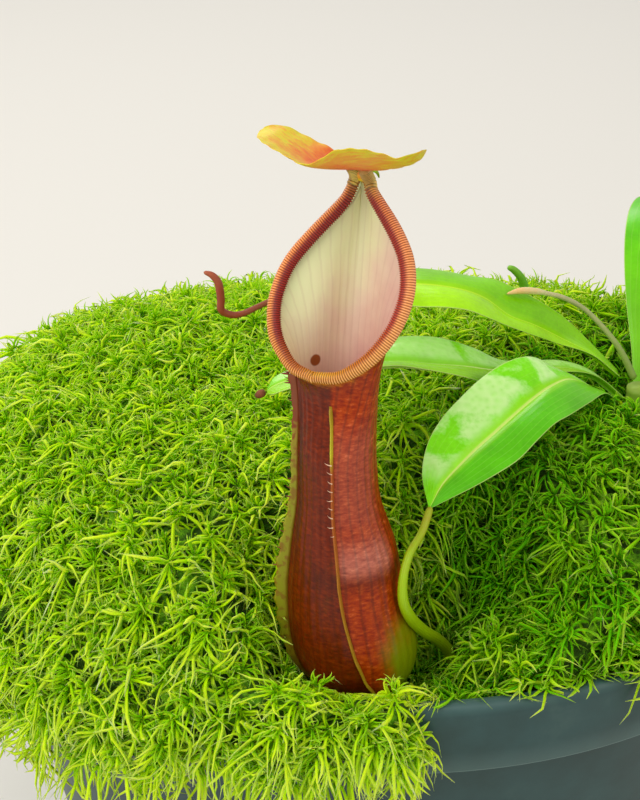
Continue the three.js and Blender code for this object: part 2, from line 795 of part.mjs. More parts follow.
const FRONT_TENDRIL = [
  [6.8, -84.9, 159.8, 0.85],
  [5.6, -88, 157.4, 0.9],
  [1.8, -94.4, 153.6, 1],
  [0.8, -97.3, 148.6, 1.15],
  [1.7, -98, 143.5, 1.35],
  [4.4, -95.5, 137.4, 1.55],
  [7.5, -90, 131, 1.65],
  [10.8, -84, 124.8, 1.65],
  [12.8, -80.5, 118.6, 1.65],
  [11.4, -79.5, 113, 1.6],
  [6.8, -81.5, 110.3, 1.45],
  [1, -85, 109.9, 1.4],
  [-4, -88.4, 111.4, 1.3],
  [-6.4, -89.6, 113.4, 1.2],
];
const UPPER_TENDRIL = [
  [-27.3, -34.9, 190.6, 0.75],
  [-30.5, -36.4, 189.6, 0.7],
  [-33.1, -38, 189, 0.7],
  [-35.9, -40, 188.5, 0.75],
  [-38.5, -41, 188.6, 0.85],
  [-40.9, -42, 190.3, 0.9],
  [-41, -42, 193.2, 0.95],
  [-41.6, -42, 197.5, 0.95],
  [-43, -42, 199.3, 0.8],
  [-44.9, -42, 200.1, 0.4],
];
const DRY_TIP = [
  [-30.6, -65.3, 180.3, 0.8],
  [-31.3, -65.5, 180.1, 0.95],
  [-32, -65.7, 179.8, 0.8],
  [-32.6, -65.8, 179.6, 0.4],
];
const NEW_LEAF = [
  [62, -11.4, 156.8, 1],
  [57.5, -9, 165, 0.9],
  [50, -5, 172.6, 0.85],
  [44, -7.4, 177.4, 0.9],
  [38.5, -11.5, 180.8, 1],
  [35.5, -14, 182.5, 1.15],
  [31.5, -16.5, 183.7, 1.1],
  [28.2, -18, 183.6, 0.3],
];
const CURLED_SHOOT = [
  [36.4, 6, 152, 1],
  [35.2, 5, 160, 1.05],
  [34.5, 4, 167.8, 1.1],
  [34.6, 4, 174.6, 1.15],
  [33.4, 3.6, 178.4, 1.05],
  [31.4, 2.8, 180.9, 0.9],
  [29.9, 2, 181.9, 0.6],
];

// A tendril with a small upturned bud, hanging from the tip of one of the arched leaves.
function hangingTendril(lines) {
  const [tip, inner] = [vec(lines.middle[0]), vec(lines.middle[1])];
  const ahead = tip.clone().sub(inner).setZ(0).normalize();
  const at = (forward, down, radius) => {
    const point = tip.clone().addScaledVector(ahead, forward).addScaledVector(UP, -down);
    return [...point.toArray(), radius];
  };
  return [
    at(0.5, 0.9, 0.8),
    at(7, 7, 0.8),
    at(11, 17, 0.85),
    at(11.5, 27, 0.9),
    at(14, 32.5, 1.1),
    at(18, 32, 1.5),
    at(20.5, 27, 1.6),
    at(21.5, 21.5, 0.6),
  ];
}

// The whole plant --------------------------------------------------------------------------------------------

const LEAF_GREEN = 0x6cc312;
const TENDRIL_GREEN = 0xa8b820;
const WING_YELLOW = 0xa9a024;

addPiece('pot', potGeometry(), 0x22403c, 0.45);
addPiece('potting_mix', mixGeometry(), 0x3a2a1c, 0.95);
addPiece('live_moss', mossGeometry(), 0x7cc000, 0.8);
addPiece('main_stem', stem(STEM, { steps: 10 }), 0x7f9a3a);
addPiece('roots', geometryOf(rootGeometry()), 0x2a1d14, 0.9);
addPiece('front_leaf', leafGeometry(FRONT_LEAF, 20), LEAF_GREEN, 0.3);
addPiece('front_tendril', stem(FRONT_TENDRIL), TENDRIL_GREEN);
addPiece('pitcher_cup', cupGeometry(), 0x8e2a12, 0.4);
addPiece('pitcher_peristome', peristomeGeometry(), 0xd2691e, 0.25);
addPiece('pitcher_lid', lidGeometry(), 0xd8c040, 0.45);
addPiece('lid_spur', stem(SPUR, { sides: 6, steps: 6 }), TENDRIL_GREEN);
addPiece('pitcher_left_wing', wingGeometry(LEFT_WING), WING_YELLOW);
addPiece('pitcher_right_wing', wingGeometry(RIGHT_WING), WING_YELLOW);
addPiece('upper_leaf', leafGeometry(UPPER_LEAF, 20), LEAF_GREEN, 0.3);
addPiece('upper_tendril', stem(UPPER_TENDRIL, { steps: 18 }), 0x8a3018);
addPiece('middle_leaf', leafGeometry(MIDDLE_LEAF, 18), LEAF_GREEN, 0.3);
addPiece('middle_leaf_dry_tip', stem(DRY_TIP, { steps: 5 }), 0x7a4a24, 0.8);
addPiece('new_leaf', stem(NEW_LEAF, { steps: 18 }), 0xe8a060);
addPiece('curled_shoot', stem(CURLED_SHOOT, { steps: 16 }), 0x4f9a1c);
for (const [name, form] of Object.entries(GUESSED_LEAVES)) {
  const lines = archedLeaf(form);
  addPiece(`${name}_leaf`, leafGeometry(lines, 14), LEAF_GREEN, 0.3);
  addPiece(`${name}_tendril`, stem(hangingTendril(lines), { steps: 16 }), TENDRIL_GREEN);
}

export default plant;
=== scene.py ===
import math
from functools import partial

import bmesh
import bpy
import numpy as np
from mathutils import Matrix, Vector, noise


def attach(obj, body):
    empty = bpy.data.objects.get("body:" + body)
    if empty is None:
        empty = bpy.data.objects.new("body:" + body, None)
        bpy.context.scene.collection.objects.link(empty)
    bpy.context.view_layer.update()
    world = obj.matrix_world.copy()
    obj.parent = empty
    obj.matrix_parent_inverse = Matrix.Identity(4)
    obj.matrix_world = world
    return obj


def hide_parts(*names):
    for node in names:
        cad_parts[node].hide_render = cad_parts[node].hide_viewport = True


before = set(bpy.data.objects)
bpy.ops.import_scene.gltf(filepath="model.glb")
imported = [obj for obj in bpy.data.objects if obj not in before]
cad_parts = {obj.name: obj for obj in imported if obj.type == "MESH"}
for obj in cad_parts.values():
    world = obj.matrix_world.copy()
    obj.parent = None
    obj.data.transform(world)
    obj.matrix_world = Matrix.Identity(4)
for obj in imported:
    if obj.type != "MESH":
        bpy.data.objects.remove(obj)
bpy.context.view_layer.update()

# Camera -------------------------------------------------------------------------------------------
# A short telephoto lens, half a metre from the pitcher and a little above it, looking down by 27
# degrees. It frames the pitcher, the leaves behind it and the moss around them.

MM = 0.001
AIM = Vector((-17.7, -90, 191)) * MM
LOOKING_DOWN = math.radians(27)
DISTANCE = 520 * MM


def add_object(name, data):
    """A new object in the scene that shows the data."""
    thing = bpy.data.objects.new(name, data)
    bpy.context.scene.collection.objects.link(thing)
    return thing


lens = bpy.data.cameras.new("camera")
lens.sensor_width = 36
lens.lens = 107.6
lens.clip_start = 0.01
camera = add_object("camera", lens)
camera.location = AIM + DISTANCE * Vector((0, -math.cos(LOOKING_DOWN), math.sin(LOOKING_DOWN)))
camera.rotation_euler = (math.pi / 2 - LOOKING_DOWN, 0, 0)
bpy.context.scene.camera = camera


# Floor and light -----------------------------------------------------------------------------------
# A plain pale table top that runs on out of sight, one large soft lamp above the left shoulder, a
# weaker one at the right, one behind, and even light from all round.

def linear(code):
    """An sRGB hex colour such as '#7cc000' as linear red, green, blue and alpha."""
    parts = [int(code[i:i + 2], 16) / 255 for i in (1, 3, 5)]
    return [c / 12.92 if c <= 0.04045 else ((c + 0.055) / 1.055) ** 2.4 for c in parts] + [1]


def feed(node, *values, **named):
    """Sets or links inputs, in the order of those in use or by name. A node stands for its first output."""
    in_use = [socket for socket in node.inputs if socket.enabled]
    pairs = list(zip(in_use, values))
    pairs += [(node.inputs[name.replace("_", " ")], value) for name, value in named.items()]
    for socket, value in pairs:
        if isinstance(value, bpy.types.Node):
            value = next(output for output in value.outputs if output.enabled)
        if isinstance(value, bpy.types.NodeSocket):
            node.id_data.links.new(value, socket)
        else:
            socket.default_value = value


def add_node(tree, kind, *values, stops=(), **named):
    """Adds a node by its kind without prefix, with its main setting or settings, inputs and ramp stops."""
    prefixes = ("ShaderNode", "GeometryNode", "FunctionNode", "")
    node = tree.nodes.new(next(start + kind for start in prefixes if hasattr(bpy.types, start + kind)))
    if values and isinstance(values[0], (str, dict)):
        settings, *values = values
        if isinstance(settings, str):
            main = next(name for name in ("operation", "interpolation_type", "data_type")
                        if hasattr(node, name))
            settings = {main: settings}
        for name, value in settings.items():
            setattr(node, name, value)
    feed(node, *values, **named)
    if stops:
        ramp = node.color_ramp.elements
        while len(ramp) < len(stops):
            ramp.new(0.5)
        for element, (place, colour) in zip(ramp, stops):
            element.position = place
            element.color = linear(colour) if isinstance(colour, str) else (colour,) * 3 + (1,)
    return node


def add_material(name, roughness, ior=1.45):
    """A new material, the function that adds a node to it, and its shader."""
    material = bpy.data.materials.new(name)
    material.use_nodes = True
    shader = material.node_tree.nodes["Principled BSDF"]
    feed(shader, Roughness=roughness, IOR=ior)
    return material, partial(add_node, material.node_tree), shader


def add_mesh(name, points, faces, material=None, uv=None):
    """A smooth mesh object from points in millimetres. uv holds a pair for each face corner."""
    mesh = bpy.data.meshes.new(name)
    mesh.from_pydata((np.asarray(points, float) * MM).tolist(), [], [list(f) for f in faces])
    if uv is not None:
        mesh.uv_layers.new(name="surface").data.foreach_set("uv", np.asarray(uv, float).ravel())
    if material is not None:
        mesh.materials.append(material)
    mesh.polygons.foreach_set("use_smooth", [True] * len(mesh.polygons))
    return add_object(name, mesh)


# Table top, matt pale laminate: an even warm white with no pattern to draw the eye.
table_white, add, shader = add_material("matt pale laminate", 0.85)
feed(shader, Base_Color=linear("#e6e4df"))
FLOOR_REACH = 4000
corners = [(x * FLOOR_REACH, y * FLOOR_REACH, -0.2) for x, y in ((-1, -1), (1, -1), (1, 1), (-1, 1))]
floor = add_mesh("floor", corners, [(0, 1, 2, 3)], table_white)

world = bpy.data.worlds.new("studio")
world.use_nodes = True
feed(world.node_tree.nodes["Background"], Color=linear("#f8f8f6"), Strength=0.5)
bpy.context.scene.world = world
bpy.context.scene.view_settings.view_transform = "Standard"

LAMPS = {
    # name: place in millimetres, width and height in metres, watts
    "main lamp": ((-620, -520, 980), (1.3, 1.3), 11.5),
    "side lamp": ((760, -420, 620), (0.6, 0.9), 2.2),
    "rear lamp": ((-250, 900, 900), (1.0, 0.5), 5),
}
for lamp_name, (place, size, watts) in LAMPS.items():
    glow = bpy.data.lights.new(lamp_name, "AREA")
    glow.shape = "RECTANGLE"
    glow.size, glow.size_y = size
    glow.energy = watts
    glow.color = linear("#fffaf2")[:3]
    lamp = add_object(lamp_name, glow)
    lamp.location = Vector(place) * MM
    lamp.rotation_euler = (AIM - lamp.location).to_track_quat("-Z", "Y").to_euler()


# Pot --------------------------------------------------------------------------------------------------
# A round bulb pan of injection-moulded polypropylene. Its rim is rolled over and turned down, and
# its floor has eight drain holes.

POT_HEIGHT = 125
RIM_RADIUS = 112
FLOOR_RADIUS = 81
FLOOR_THICKNESS = 3
WALL_TAPER = 0.218
WALL = 1.5


def inner_radius(height):
    """The radius of the pot's inner face at this height."""
    return FLOOR_RADIUS + (height - FLOOR_THICKNESS) * WALL_TAPER


def net_faces(rows, columns, endless=False):
    """Quads over rings of points, ring by ring. endless joins the last ring to the first."""
    faces = []
    for i in range(rows if endless else rows - 1):
        for j in range(columns):
            k, below = (j + 1) % columns, ((i + 1) % rows) * columns
            faces.append((i * columns + j, i * columns + k, below + k, below + j))
    return faces


def turned(profile, segments):
    """A closed outline [radius, height] turned round the Z axis, its faces outwards."""
    turn = np.arange(segments) * 2 * math.pi / segments
    rings = [np.stack([r * np.cos(turn), r * np.sin(turn), np.full(segments, z)], 1)
             for r, z in profile]
    return np.vstack(rings), net_faces(len(profile), segments, endless=True)


def turn_out(thing):
    """Turns the faces of a closed shell outwards, if they aren't."""
    form = bmesh.new()
    form.from_mesh(thing.data)
    if form.calc_volume(signed=True) < 0:
        thing.data.flip_normals()
    form.free()


def shaped(thing):
    """The mesh that an object's modifiers make of it. The modifiers are taken off."""
    ready = thing.evaluated_get(bpy.context.evaluated_depsgraph_get())
    mesh = bpy.data.meshes.new_from_object(ready)
    thing.modifiers.clear()
    return mesh


def drill(pan, radius, circle, count):
    """Cuts a ring of round holes through the floor of the pan."""
    sides = 32
    around = np.arange(sides) * 2 * math.pi / sides
    points, faces = [], []
    for i in range(count):
        middle = i * 2 * math.pi / count
        x, y = circle * math.cos(middle), circle * math.sin(middle)
        for level in (-2, 8):
            points += [(x + radius * math.cos(a), y + radius * math.sin(a), level) for a in around]
        first = i * 2 * sides
        faces += [tuple(first + k for k in face) for face in net_faces(2, sides)]
        faces.append(tuple(first + j for j in reversed(range(sides))))
        faces.append(tuple(first + sides + j for j in range(sides)))
    bits = add_mesh("drill_bits", points, faces)
    cut = pan.modifiers.new("drain holes", "BOOLEAN")
    cut.object = bits
    cut.solver = "EXACT"
    pan.data = shaped(pan)
    bpy.data.objects.remove(bits)


def finish(piece, slot, *nodes):
    """Fixes a piece to the plant and hides the CAD nodes it stands for. slot, the slot of its finish, is not
    used.
    """
    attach(piece, "root")
    if nodes:
        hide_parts(*nodes)


# Polypropylene, moulded, dark blue-green: satin with a fine leathery grain, cloudy, and paler
# along its sharp edges.
pot_plastic, add, shader = add_material("moulded dark green polypropylene", 0.42, 1.49)
place = add("TexCoord").outputs["Object"]
grain = add("TexNoise", Vector=place, Scale=1 / (0.9 * MM), Detail=3)
cloud = add("TexNoise", Vector=place, Scale=1 / (22 * MM), Detail=5, Roughness=0.6)
tint = add("ValToRGB", Fac=cloud, stops=[(0.3, "#1c3836"), (0.62, "#284a4a"), (0.8, "#3d5a56")])
edge = add("NewGeometry")
sharp_edges = add("ValToRGB", Fac=edge.outputs["Pointiness"], stops=[(0.52, 0.0), (0.6, 1.0)])
edge_paled = add("Mix", "RGBA", sharp_edges, tint, linear("#6d8c88"))
bumps = add("Bump", Height=grain, Strength=0.18, Distance=0.08 * MM)
feed(shader, Base_Color=edge_paled, Normal=bumps)

RIM = POT_HEIGHT
pot = add_mesh("bulb_pan", *turned([
    (0.01, 0), (FLOOR_RADIUS - 14, 0), (FLOOR_RADIUS - 13.2, 0.9), (FLOOR_RADIUS - 12.4, 0),
    (FLOOR_RADIUS - 1, 0), (FLOOR_RADIUS + 0.4, 0.5), (FLOOR_RADIUS + 1.4, 2.2),
    (inner_radius(18) + WALL, 18), (inner_radius(18.6) + WALL + 0.5, 18.6),
    (inner_radius(20) + WALL + 0.5, 20), (inner_radius(20.6) + WALL, 20.6),
    (inner_radius(60) + WALL, 60), (inner_radius(RIM - 22) + WALL, RIM - 22),
    (inner_radius(RIM - 3.2) + WALL, RIM - 3.2), (RIM_RADIUS - 1.7, RIM - 3.3),
    (RIM_RADIUS - 2.3, RIM - 17.8), (RIM_RADIUS - 2.1, RIM - 18.2), (RIM_RADIUS - 1.2, RIM - 18.2),
    (RIM_RADIUS - 0.9, RIM - 17.7), (RIM_RADIUS - 0.4, RIM - 11), (RIM_RADIUS, RIM - 3.5),
    (RIM_RADIUS, RIM - 2.2), (RIM_RADIUS - 0.3, RIM - 1), (RIM_RADIUS - 0.8, RIM - 0.35),
    (RIM_RADIUS - 1.6, RIM), (RIM_RADIUS - 3, RIM), (RIM_RADIUS - 3.9, RIM - 0.4),
    (inner_radius(RIM - 2), RIM - 2), (inner_radius(60), 60), (FLOOR_RADIUS + 0.6, 5),
    (FLOOR_RADIUS - 0.8, 3.4), (FLOOR_RADIUS - 2.4, FLOOR_THICKNESS), (0.01, FLOOR_THICKNESS),
], 144), pot_plastic)
turn_out(pot)
drill(pot, radius=6, circle=62, count=8)
pot.data.set_sharp_from_angle(angle=math.radians(34))
finish(pot, "pot_plastic", "pot")


# Growing mix and roots -----------------------------------------------------------------------------
# Peat, bark and perlite under the moss, tipped in loose, with the wiry black roots that grow down
# into it. Both CAD forms stay, and only their finish is made here.

# Peat and perlite, loose: near-black crumbs with scattered white grains.
growing_mix, add, shader = add_material("loose peat with perlite", 0.95)
place = add("TexCoord").outputs["Object"]
crumbs = add("TexVoronoi", Vector=place, Scale=1 / (3.5 * MM))
grains = add("ValToRGB", Fac=crumbs.outputs["Color"], stops=[(0.2, "#2a1d14"), (0.78, "#4a3422"),
    (0.86, "#d8d2c4")])
lumps = add("Bump", Height=crumbs, Strength=0.6, Distance=1 * MM)
feed(shader, Base_Color=grains, Normal=lumps)
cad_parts["potting_mix"].material_slots[0].material = growing_mix

# Root bark, grown: dull black-brown with a fine lengthwise roughness.
root_bark, add, shader = add_material("wiry root bark", 0.8)
place = add("TexCoord").outputs["Object"]
fibres = add("TexNoise", Vector=place, Scale=1 / (0.8 * MM), Detail=4)
bark = add("ValToRGB", Fac=fibres, stops=[(0.3, "#16100c"), (0.7, "#3a281c")])
feed(shader, Base_Color=bark)
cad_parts["roots"].material_slots[0].material = root_bark


# Stem ---------------------------------------------------------------------------------------------------
# The plant's short upright stem, which all leaves leave. Green and a little woody, with the scars
# of old leaves. Its foot stands in the mix.

def path_through(rows):
    """A smooth path through rows of numbers, as a function of the share of the way from 0 to 1."""
    rows = np.array(rows, float)
    ends = np.vstack([2 * rows[0] - rows[1], rows, 2 * rows[-1] - rows[-2]])

    def at(share):
        share = np.clip(np.asarray(share, float), 0, 1) * (len(rows) - 1)
        i = np.minimum(share.astype(int), len(rows) - 2)
        t = (share - i)[..., None]
        a, b, c, d = (ends[i + k] for k in range(4))
        first, gap, last = (np.maximum(np.linalg.norm((q - p)[..., :3], axis=-1), 1e-6)[..., None] ** 0.5
                            for p, q in ((a, b), (b, c), (c, d)))
        leave = gap * ((b - a) / first - (c - a) / (first + gap) + (c - b) / gap)
        arrive = gap * ((c - b) / gap - (d - b) / (gap + last) + (d - c) / last)
        return (b + leave * t + (3 * (c - b) - 2 * leave - arrive) * t ** 2
                + (2 * (b - c) + leave + arrive) * t ** 3)
    return at


def evenly(path, count):
    """Rows of the path at equal steps of its length."""
    fine = path(np.linspace(0, 1, 401))
    steps = np.linalg.norm(np.diff(fine[:, :3], axis=0), axis=1)
    length = np.concatenate([[0], np.cumsum(steps)])
    share = np.interp(np.linspace(0, length[-1], count), length, np.linspace(0, 1, 401))
    return path(share)


def rings_along(rows, sides):
    """Rings of points round the rows x, y, z, radius, turned as little as can be on the way."""
    ahead = np.gradient(rows[:, :3], axis=0)
    ahead /= np.linalg.norm(ahead, axis=1, keepdims=True)
    side = np.cross(ahead[0], (0.3, 0.1, 1.0) if abs(ahead[0][2]) < 0.9 else (1.0, 0.2, 0))
    turn = (np.arange(sides) * 2 * math.pi / sides)[:, None]
    rings = []
    for (x, y, z, radius), forward in zip(rows[:, :4], ahead):
        side = side - forward * side.dot(forward)
        side = side / np.linalg.norm(side)
        rings.append(np.array([x, y, z]) + radius * (
            np.cos(turn) * side + np.sin(turn) * np.cross(forward, side)))
    return rings


def add_skin(name, rings, material, levels=None, rounds=None):
    """A closed skin over rings of points. Its map runs along it in U and round it in V."""
    rows, columns = len(rings), len(rings[0])
    level = np.linspace(0, 1, rows) if levels is None else levels
    around = np.linspace(0, 1, columns + 1) if rounds is None else rounds
    faces = net_faces(rows, columns)
    pairs = []
    for i in range(rows - 1):
        for here, there in zip(around, around[1:]):
            pairs += [(level[i], here), (level[i], there), (level[i + 1], there), (level[i + 1], here)]
    last = (rows - 1) * columns
    faces += [tuple(reversed(range(columns))), tuple(last + j for j in range(columns))]
    pairs += [(level[0], v) for v in reversed(around[:-1])] + [(level[-1], v) for v in around[:-1]]
    skin = add_mesh(name, np.vstack(rings), faces, material, pairs)
    turn_out(skin)
    return skin


CROWN = (63, -12)
STEM = [(64, -10, 62, 3.5), (64, -10, 95, 3.5), (63.5, -11, 125, 3.5), (63, -12, 155, 3)]

# Young woody stem, grown: green going brown towards the foot, dull, ringed by leaf scars.
stem_green, add, shader = add_material("young woody stem", 0.55)
where = add("SeparateXYZ", Vector=add("UVMap", {"uv_map": "surface"}))
mottle = add("TexNoise", Vector=add("TexCoord").outputs["Object"], Scale=1 / (2.5 * MM), Detail=4)
aged = add("Math", "MULTIPLY_ADD", mottle, 0.25, where.outputs["X"])
tint = add("ValToRGB", Fac=aged, stops=[(0.45, "#5a4024"), (0.75, "#6a7a2c"), (1.0, "#8fae3a")])
feed(shader, Base_Color=tint)
rows = evenly(path_through(STEM), 90)
rows[:, 3] += 0.25 * np.exp(-((np.arange(90) % 11 - 5) / 1.3) ** 2)
finish(add_skin("crown_stem", rings_along(rows, 24), stem_green), "plant_stem", "main_stem")


# Moss ---------------------------------------------------------------------------------------------------
# A live cushion of sphagnum: a lumpy bed of packed stems, and on it hundreds of heads, each a
# star of soft, curled, tapering branches. It spills over the rim at the left front.

def smoothstep(value, low, high):
    """A soft step from 0 at low to 1 at high."""
    share = np.clip((np.asarray(value, float) - low) / (high - low), 0, 1)
    return share * share * (3 - 2 * share)


def set_values(thing, **values):
    """Stores a number for each point of a mesh under each name."""
    fields = thing.data.attributes
    for name, numbers in values.items():
        field = fields.get(name) or fields.new(name, "FLOAT", "POINT")
        field.data.foreach_set("value", np.asarray(numbers, np.float32).ravel())


# Packed sphagnum stems under the plants: green, darker the deeper the bed is dented in, as painted
# shade, dull, and rough at the scale of one stem, 1.5 mm.
old_moss, add, shader = add_material("packed old sphagnum", 0.9)
place = add("TexCoord").outputs["Object"]
stems = add("TexNoise", Vector=place, Scale=1 / (1.5 * MM), Detail=4, Roughness=0.7)
# painted shade: the 'packed' value is how deep the bed is dented, and the deeper it is, the darker the green
packed = add("Attribute", {"attribute_name": "packed"}).outputs["Fac"]
depth = add("Math", "MULTIPLY_ADD", packed, -0.9, stems)
gloom = add("ValToRGB", Fac=depth, stops=[(0.0, "#385c00"), (0.2, "#64a000"), (0.4, "#8ccc08"),
    (0.65, "#b8ec28")])
rough = add("Bump", Height=stems, Strength=1.0, Distance=1.6 * MM)
feed(shader, Base_Color=gloom, Normal=rough)

bed_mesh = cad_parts["live_moss"].data.copy()
bed_mesh.materials.clear()
bed_mesh.materials.append(old_moss)
moss_bed = add_object("moss_bed", bed_mesh)
form = bmesh.new()
form.from_mesh(bed_mesh)
bmesh.ops.remove_doubles(form, verts=form.verts, dist=0.01 * MM)
form.to_mesh(bed_mesh)
form.free()
lumpy = moss_bed.modifiers.new("lumps", "REMESH")
lumpy.mode = "VOXEL"
lumpy.voxel_size = 1.7 * MM
lumps = shaped(moss_bed)
moss_bed.data = lumps
co = np.empty(len(lumps.vertices) * 3, np.float32)
normals = np.empty(len(lumps.vertices) * 3, np.float32)
lumps.vertices.foreach_get("co", co)
lumps.vertices.foreach_get("normal", normals)
co, normals = co.reshape(-1, 3), normals.reshape(-1, 3)
dent = np.array([0.5 + 0.7 * noise.fractal(Vector(p) / (3.6 * MM), 0.8, 2.0, 3) for p in co])
dent = np.clip(dent, 0, 1)
co -= normals * (dent * 2.4 * MM)[:, None]
# the dent's depth, which also drives the bed's painted shade
set_values(moss_bed, packed=dent)
lumps.vertices.foreach_set("co", co.ravel())
lumps.polygons.foreach_set("use_smooth", [True] * len(lumps.polygons))
finish(moss_bed, "live_moss", "live_moss")

# Live sphagnum, grown: a head is deep green, and the long soft branches under it run from mid
# green to a pale yellow-green tip. Light and shade are painted: plants where the light falls, at the
# left and front, are lime green, and those behind and at the right are painted deeper green as shade.
# The map runs from root to tip in U and from deep green to bright in V.
live_moss, add, shader = add_material("live sphagnum branches", 0.75)
place = add("UVMap", {"uv_map": "OFBake"})
where = add("SeparateXYZ", Vector=place)
bright = add("ValToRGB", Fac=where.outputs["X"], stops=[(0.0, "#a0e800"), (0.25, "#b8fc00"),
    (0.6, "#d0ff24"), (1.0, "#dcff58")])
deep = add("ValToRGB", Fac=where.outputs["X"], stops=[(0.0, "#348c00"), (0.4, "#48ac00"), (0.8, "#5cbc00"),
    (1.0, "#80cc1c")])
mixed = add("Mix", "RGBA", where.outputs["Y"], deep, bright)
feed(shader, Base_Color=mixed, Specular_IOR_Level=0.08, Subsurface_Weight=0.6,
     Subsurface_Radius=(1.0, 1.3, 0.3), Subsurface_Scale=1.5 * MM)


def new_tree(name, result, *sockets):
    """A new geometry node tree, the function that adds a node to it, and its inputs to link from."""
    tree = bpy.data.node_groups.new(name, "GeometryNodeTree")
    for label, kind, *value in sockets:
        socket = tree.interface.new_socket(label, in_out="INPUT", socket_type="NodeSocket" + kind)
        if value:
            socket.default_value = value[0]
    tree.interface.new_socket(result, in_out="OUTPUT", socket_type="NodeSocketGeometry")
    add = partial(add_node, tree)
    return tree, add, add("NodeGroupInput").outputs


GOLDEN_ANGLE = 2.399963
FULL_TURN = 6.283
# plants per square metre that the spacing may thin out
MOST_PLANTS = 150000
# middle and end of a branch one long, from its root at 0
BRANCH_CURLS = (((0.10, 0.1, 0.6), (0.45, 0.0, 0.9)), ((-0.1, -0.2, 0.6), (0.3, 0.1, 1.0)),
                ((0.2, 0.1, 0.7), (0.65, -0.2, 0.75)), ((0.0, 0.25, 0.5), (-0.4, 0.1, 0.95)))


def sphagnum_tree():
    """Geometry nodes: moss plants, each a tight head over long drooping branches, on a bed."""
    tree, add, given = new_tree(
        "sphagnum plants", "Moss",
        ("Bed", "Geometry"), ("Plant spacing", "Float", 4.2 * MM), ("Plant height", "Float", 6 * MM),
        ("Branches", "Int", 26), ("Head branches", "Int", 13), ("Branch length", "Float", 10 * MM),
        ("Branch radius", "Float", 0.5 * MM), ("Droop", "Float", 6 * MM), ("Curl", "Float", 7.5 * MM),
        ("Seed", "Int", 7), ("Finish", "Material"))
    seed = given["Seed"]
    seeds = [seed] + [add("Math", "ADD", seed, step) for step in range(1, 7)]
    position = add("InputPosition")
    head, away_from_head = (add("InputNamedAttribute", "FLOAT_VECTOR", name) for name in ("head", "away"))
    grow, tone, plant_tint, in_head, along, round_branch = (
        add("InputNamedAttribute", "FLOAT", name)
        for name in ("grow", "tone", "plant_tint", "in_head", "along_branch", "round_branch"))

    # Plants, spread over the bed where it is free and standing at different heights
    plants = add("DistributePointsOnFaces", {"distribute_method": "POISSON"}, Mesh=given["Bed"],
                 Distance_Min=given["Plant spacing"], Density_Max=MOST_PLANTS, Density_Factor=grow, Seed=seed)
    rise = add("Math", "MULTIPLY", given["Plant height"], add("RandomValue", "FLOAT", 0.1, 1.0, Seed=seed))
    heads = add("SetPosition", plants, Offset=add("VectorMath", "SCALE", plants.outputs["Normal"], rise))
    heads = add("StoreNamedAttribute", "FLOAT_VECTOR", heads, Name="head", Value=position)
    tint = add("RandomValue", "FLOAT", -0.2, 0.2, Seed=seeds[1])
    heads = add("StoreNamedAttribute", "FLOAT", heads, Name="plant_tint", Value=tint)

    # Branch roots on a small ball: the first ones over its top, the rest round it from top to bottom
    index = add("InputIndex")
    number = add("Math", "ADD", index, 0.5)
    first = add("Math", "LESS_THAN", index, given["Head branches"])
    top = add("Math", "DIVIDE", number, given["Head branches"])
    others = add("Math", "SUBTRACT", given["Branches"], given["Head branches"])
    rest = add("Math", "DIVIDE", add("Math", "SUBTRACT", number, given["Head branches"]), others)
    level = add("Mix", "FLOAT", first, add("Math", "MULTIPLY_ADD", rest, -1.3, 0.9),
                add("Math", "MULTIPLY_ADD", top, -0.95, 1.0))
    squared = add("Math", "SUBTRACT", 1.0, add("Math", "MULTIPLY", level, level))
    out = add("Math", "SQRT", add("Math", "MAXIMUM", squared, 0.0))
    turn = add("Math", "MULTIPLY", index, GOLDEN_ANGLE)
    x, y = (add("Math", "MULTIPLY", out, add("Math", wave, turn)) for wave in ("COSINE", "SINE"))
    ball = add("Points", Count=given["Branches"], Position=add("CombineXYZ", x, y, level))
    ball = add("StoreNamedAttribute", "FLOAT", ball, Name="in_head", Value=first)
    spin = add("RandomValue", "FLOAT_VECTOR", (-0.4, -0.4, 0), (0.4, 0.4, FULL_TURN), Seed=seeds[2])
    leaning = add("RotateRotation", {"rotation_space": "LOCAL"}, plants.outputs["Rotation"],
                  add("EulerToRotation", spin))
    stars = add("InstanceOnPoints", Points=heads, Instance=ball, Rotation=leaning)
    stars = add("RealizeInstances", stars)
    scatter = add("RandomValue", "FLOAT_VECTOR", (-0.3, -0.3, -0.2), (0.3, 0.3, 0.25), Seed=seeds[3])
    away = add("VectorMath", "ADD", add("VectorMath", "SUBTRACT", position, head), scatter)
    stars = add("StoreNamedAttribute", "FLOAT_VECTOR", stars, Name="away", Value=away)
    drop = add("RandomValue", "FLOAT", -0.55, -0.1, Seed=seeds[4])
    drop = add("Math", "MULTIPLY", add("Math", "SUBTRACT", 1.0, in_head), drop)
    below = add("CombineXYZ", Z=add("Math", "MULTIPLY", drop, given["Plant height"]))
    start = add("VectorMath", "MULTIPLY_ADD", away, (0.6 * MM,) * 3, head)
    stars = add("SetPosition", stars, Position=add("VectorMath", "ADD", start, below))

    # One branch, in four curls: a tapering tube with a slim root, a fuller middle and a fine tip
    run = add("SplineParameter")
    thinning = add("Math", "POWER", add("Math", "SUBTRACT", 1.0, run), 0.75)
    taper = add("Math", "MULTIPLY", thinning, add("Math", "MULTIPLY_ADD", run, 1.6, 0.6))
    taper = add("Math", "MAXIMUM", taper, 0.08)
    radius = add("Math", "DIVIDE", given["Branch radius"], given["Branch length"])
    ring = add("CurvePrimitiveCircle", {"mode": "RADIUS"}, Resolution=3, Radius=radius)
    ring = add("StoreNamedAttribute", "FLOAT", ring, Name="round_branch", Value=run)
    kinds = add("JoinGeometry")
    for middle, end in BRANCH_CURLS:
        line = add("CurveQuadraticBezier", Resolution=5, Start=(0, 0, 0), Middle=middle, End=end)
        line = add("StoreNamedAttribute", "FLOAT", line, Name="along_branch", Value=run)
        branch = add("CurveToMesh", Curve=line, Profile_Curve=ring, Scale=taper, Fill_Caps=True)
        feed(kinds, add("GeometryToInstance", branch))

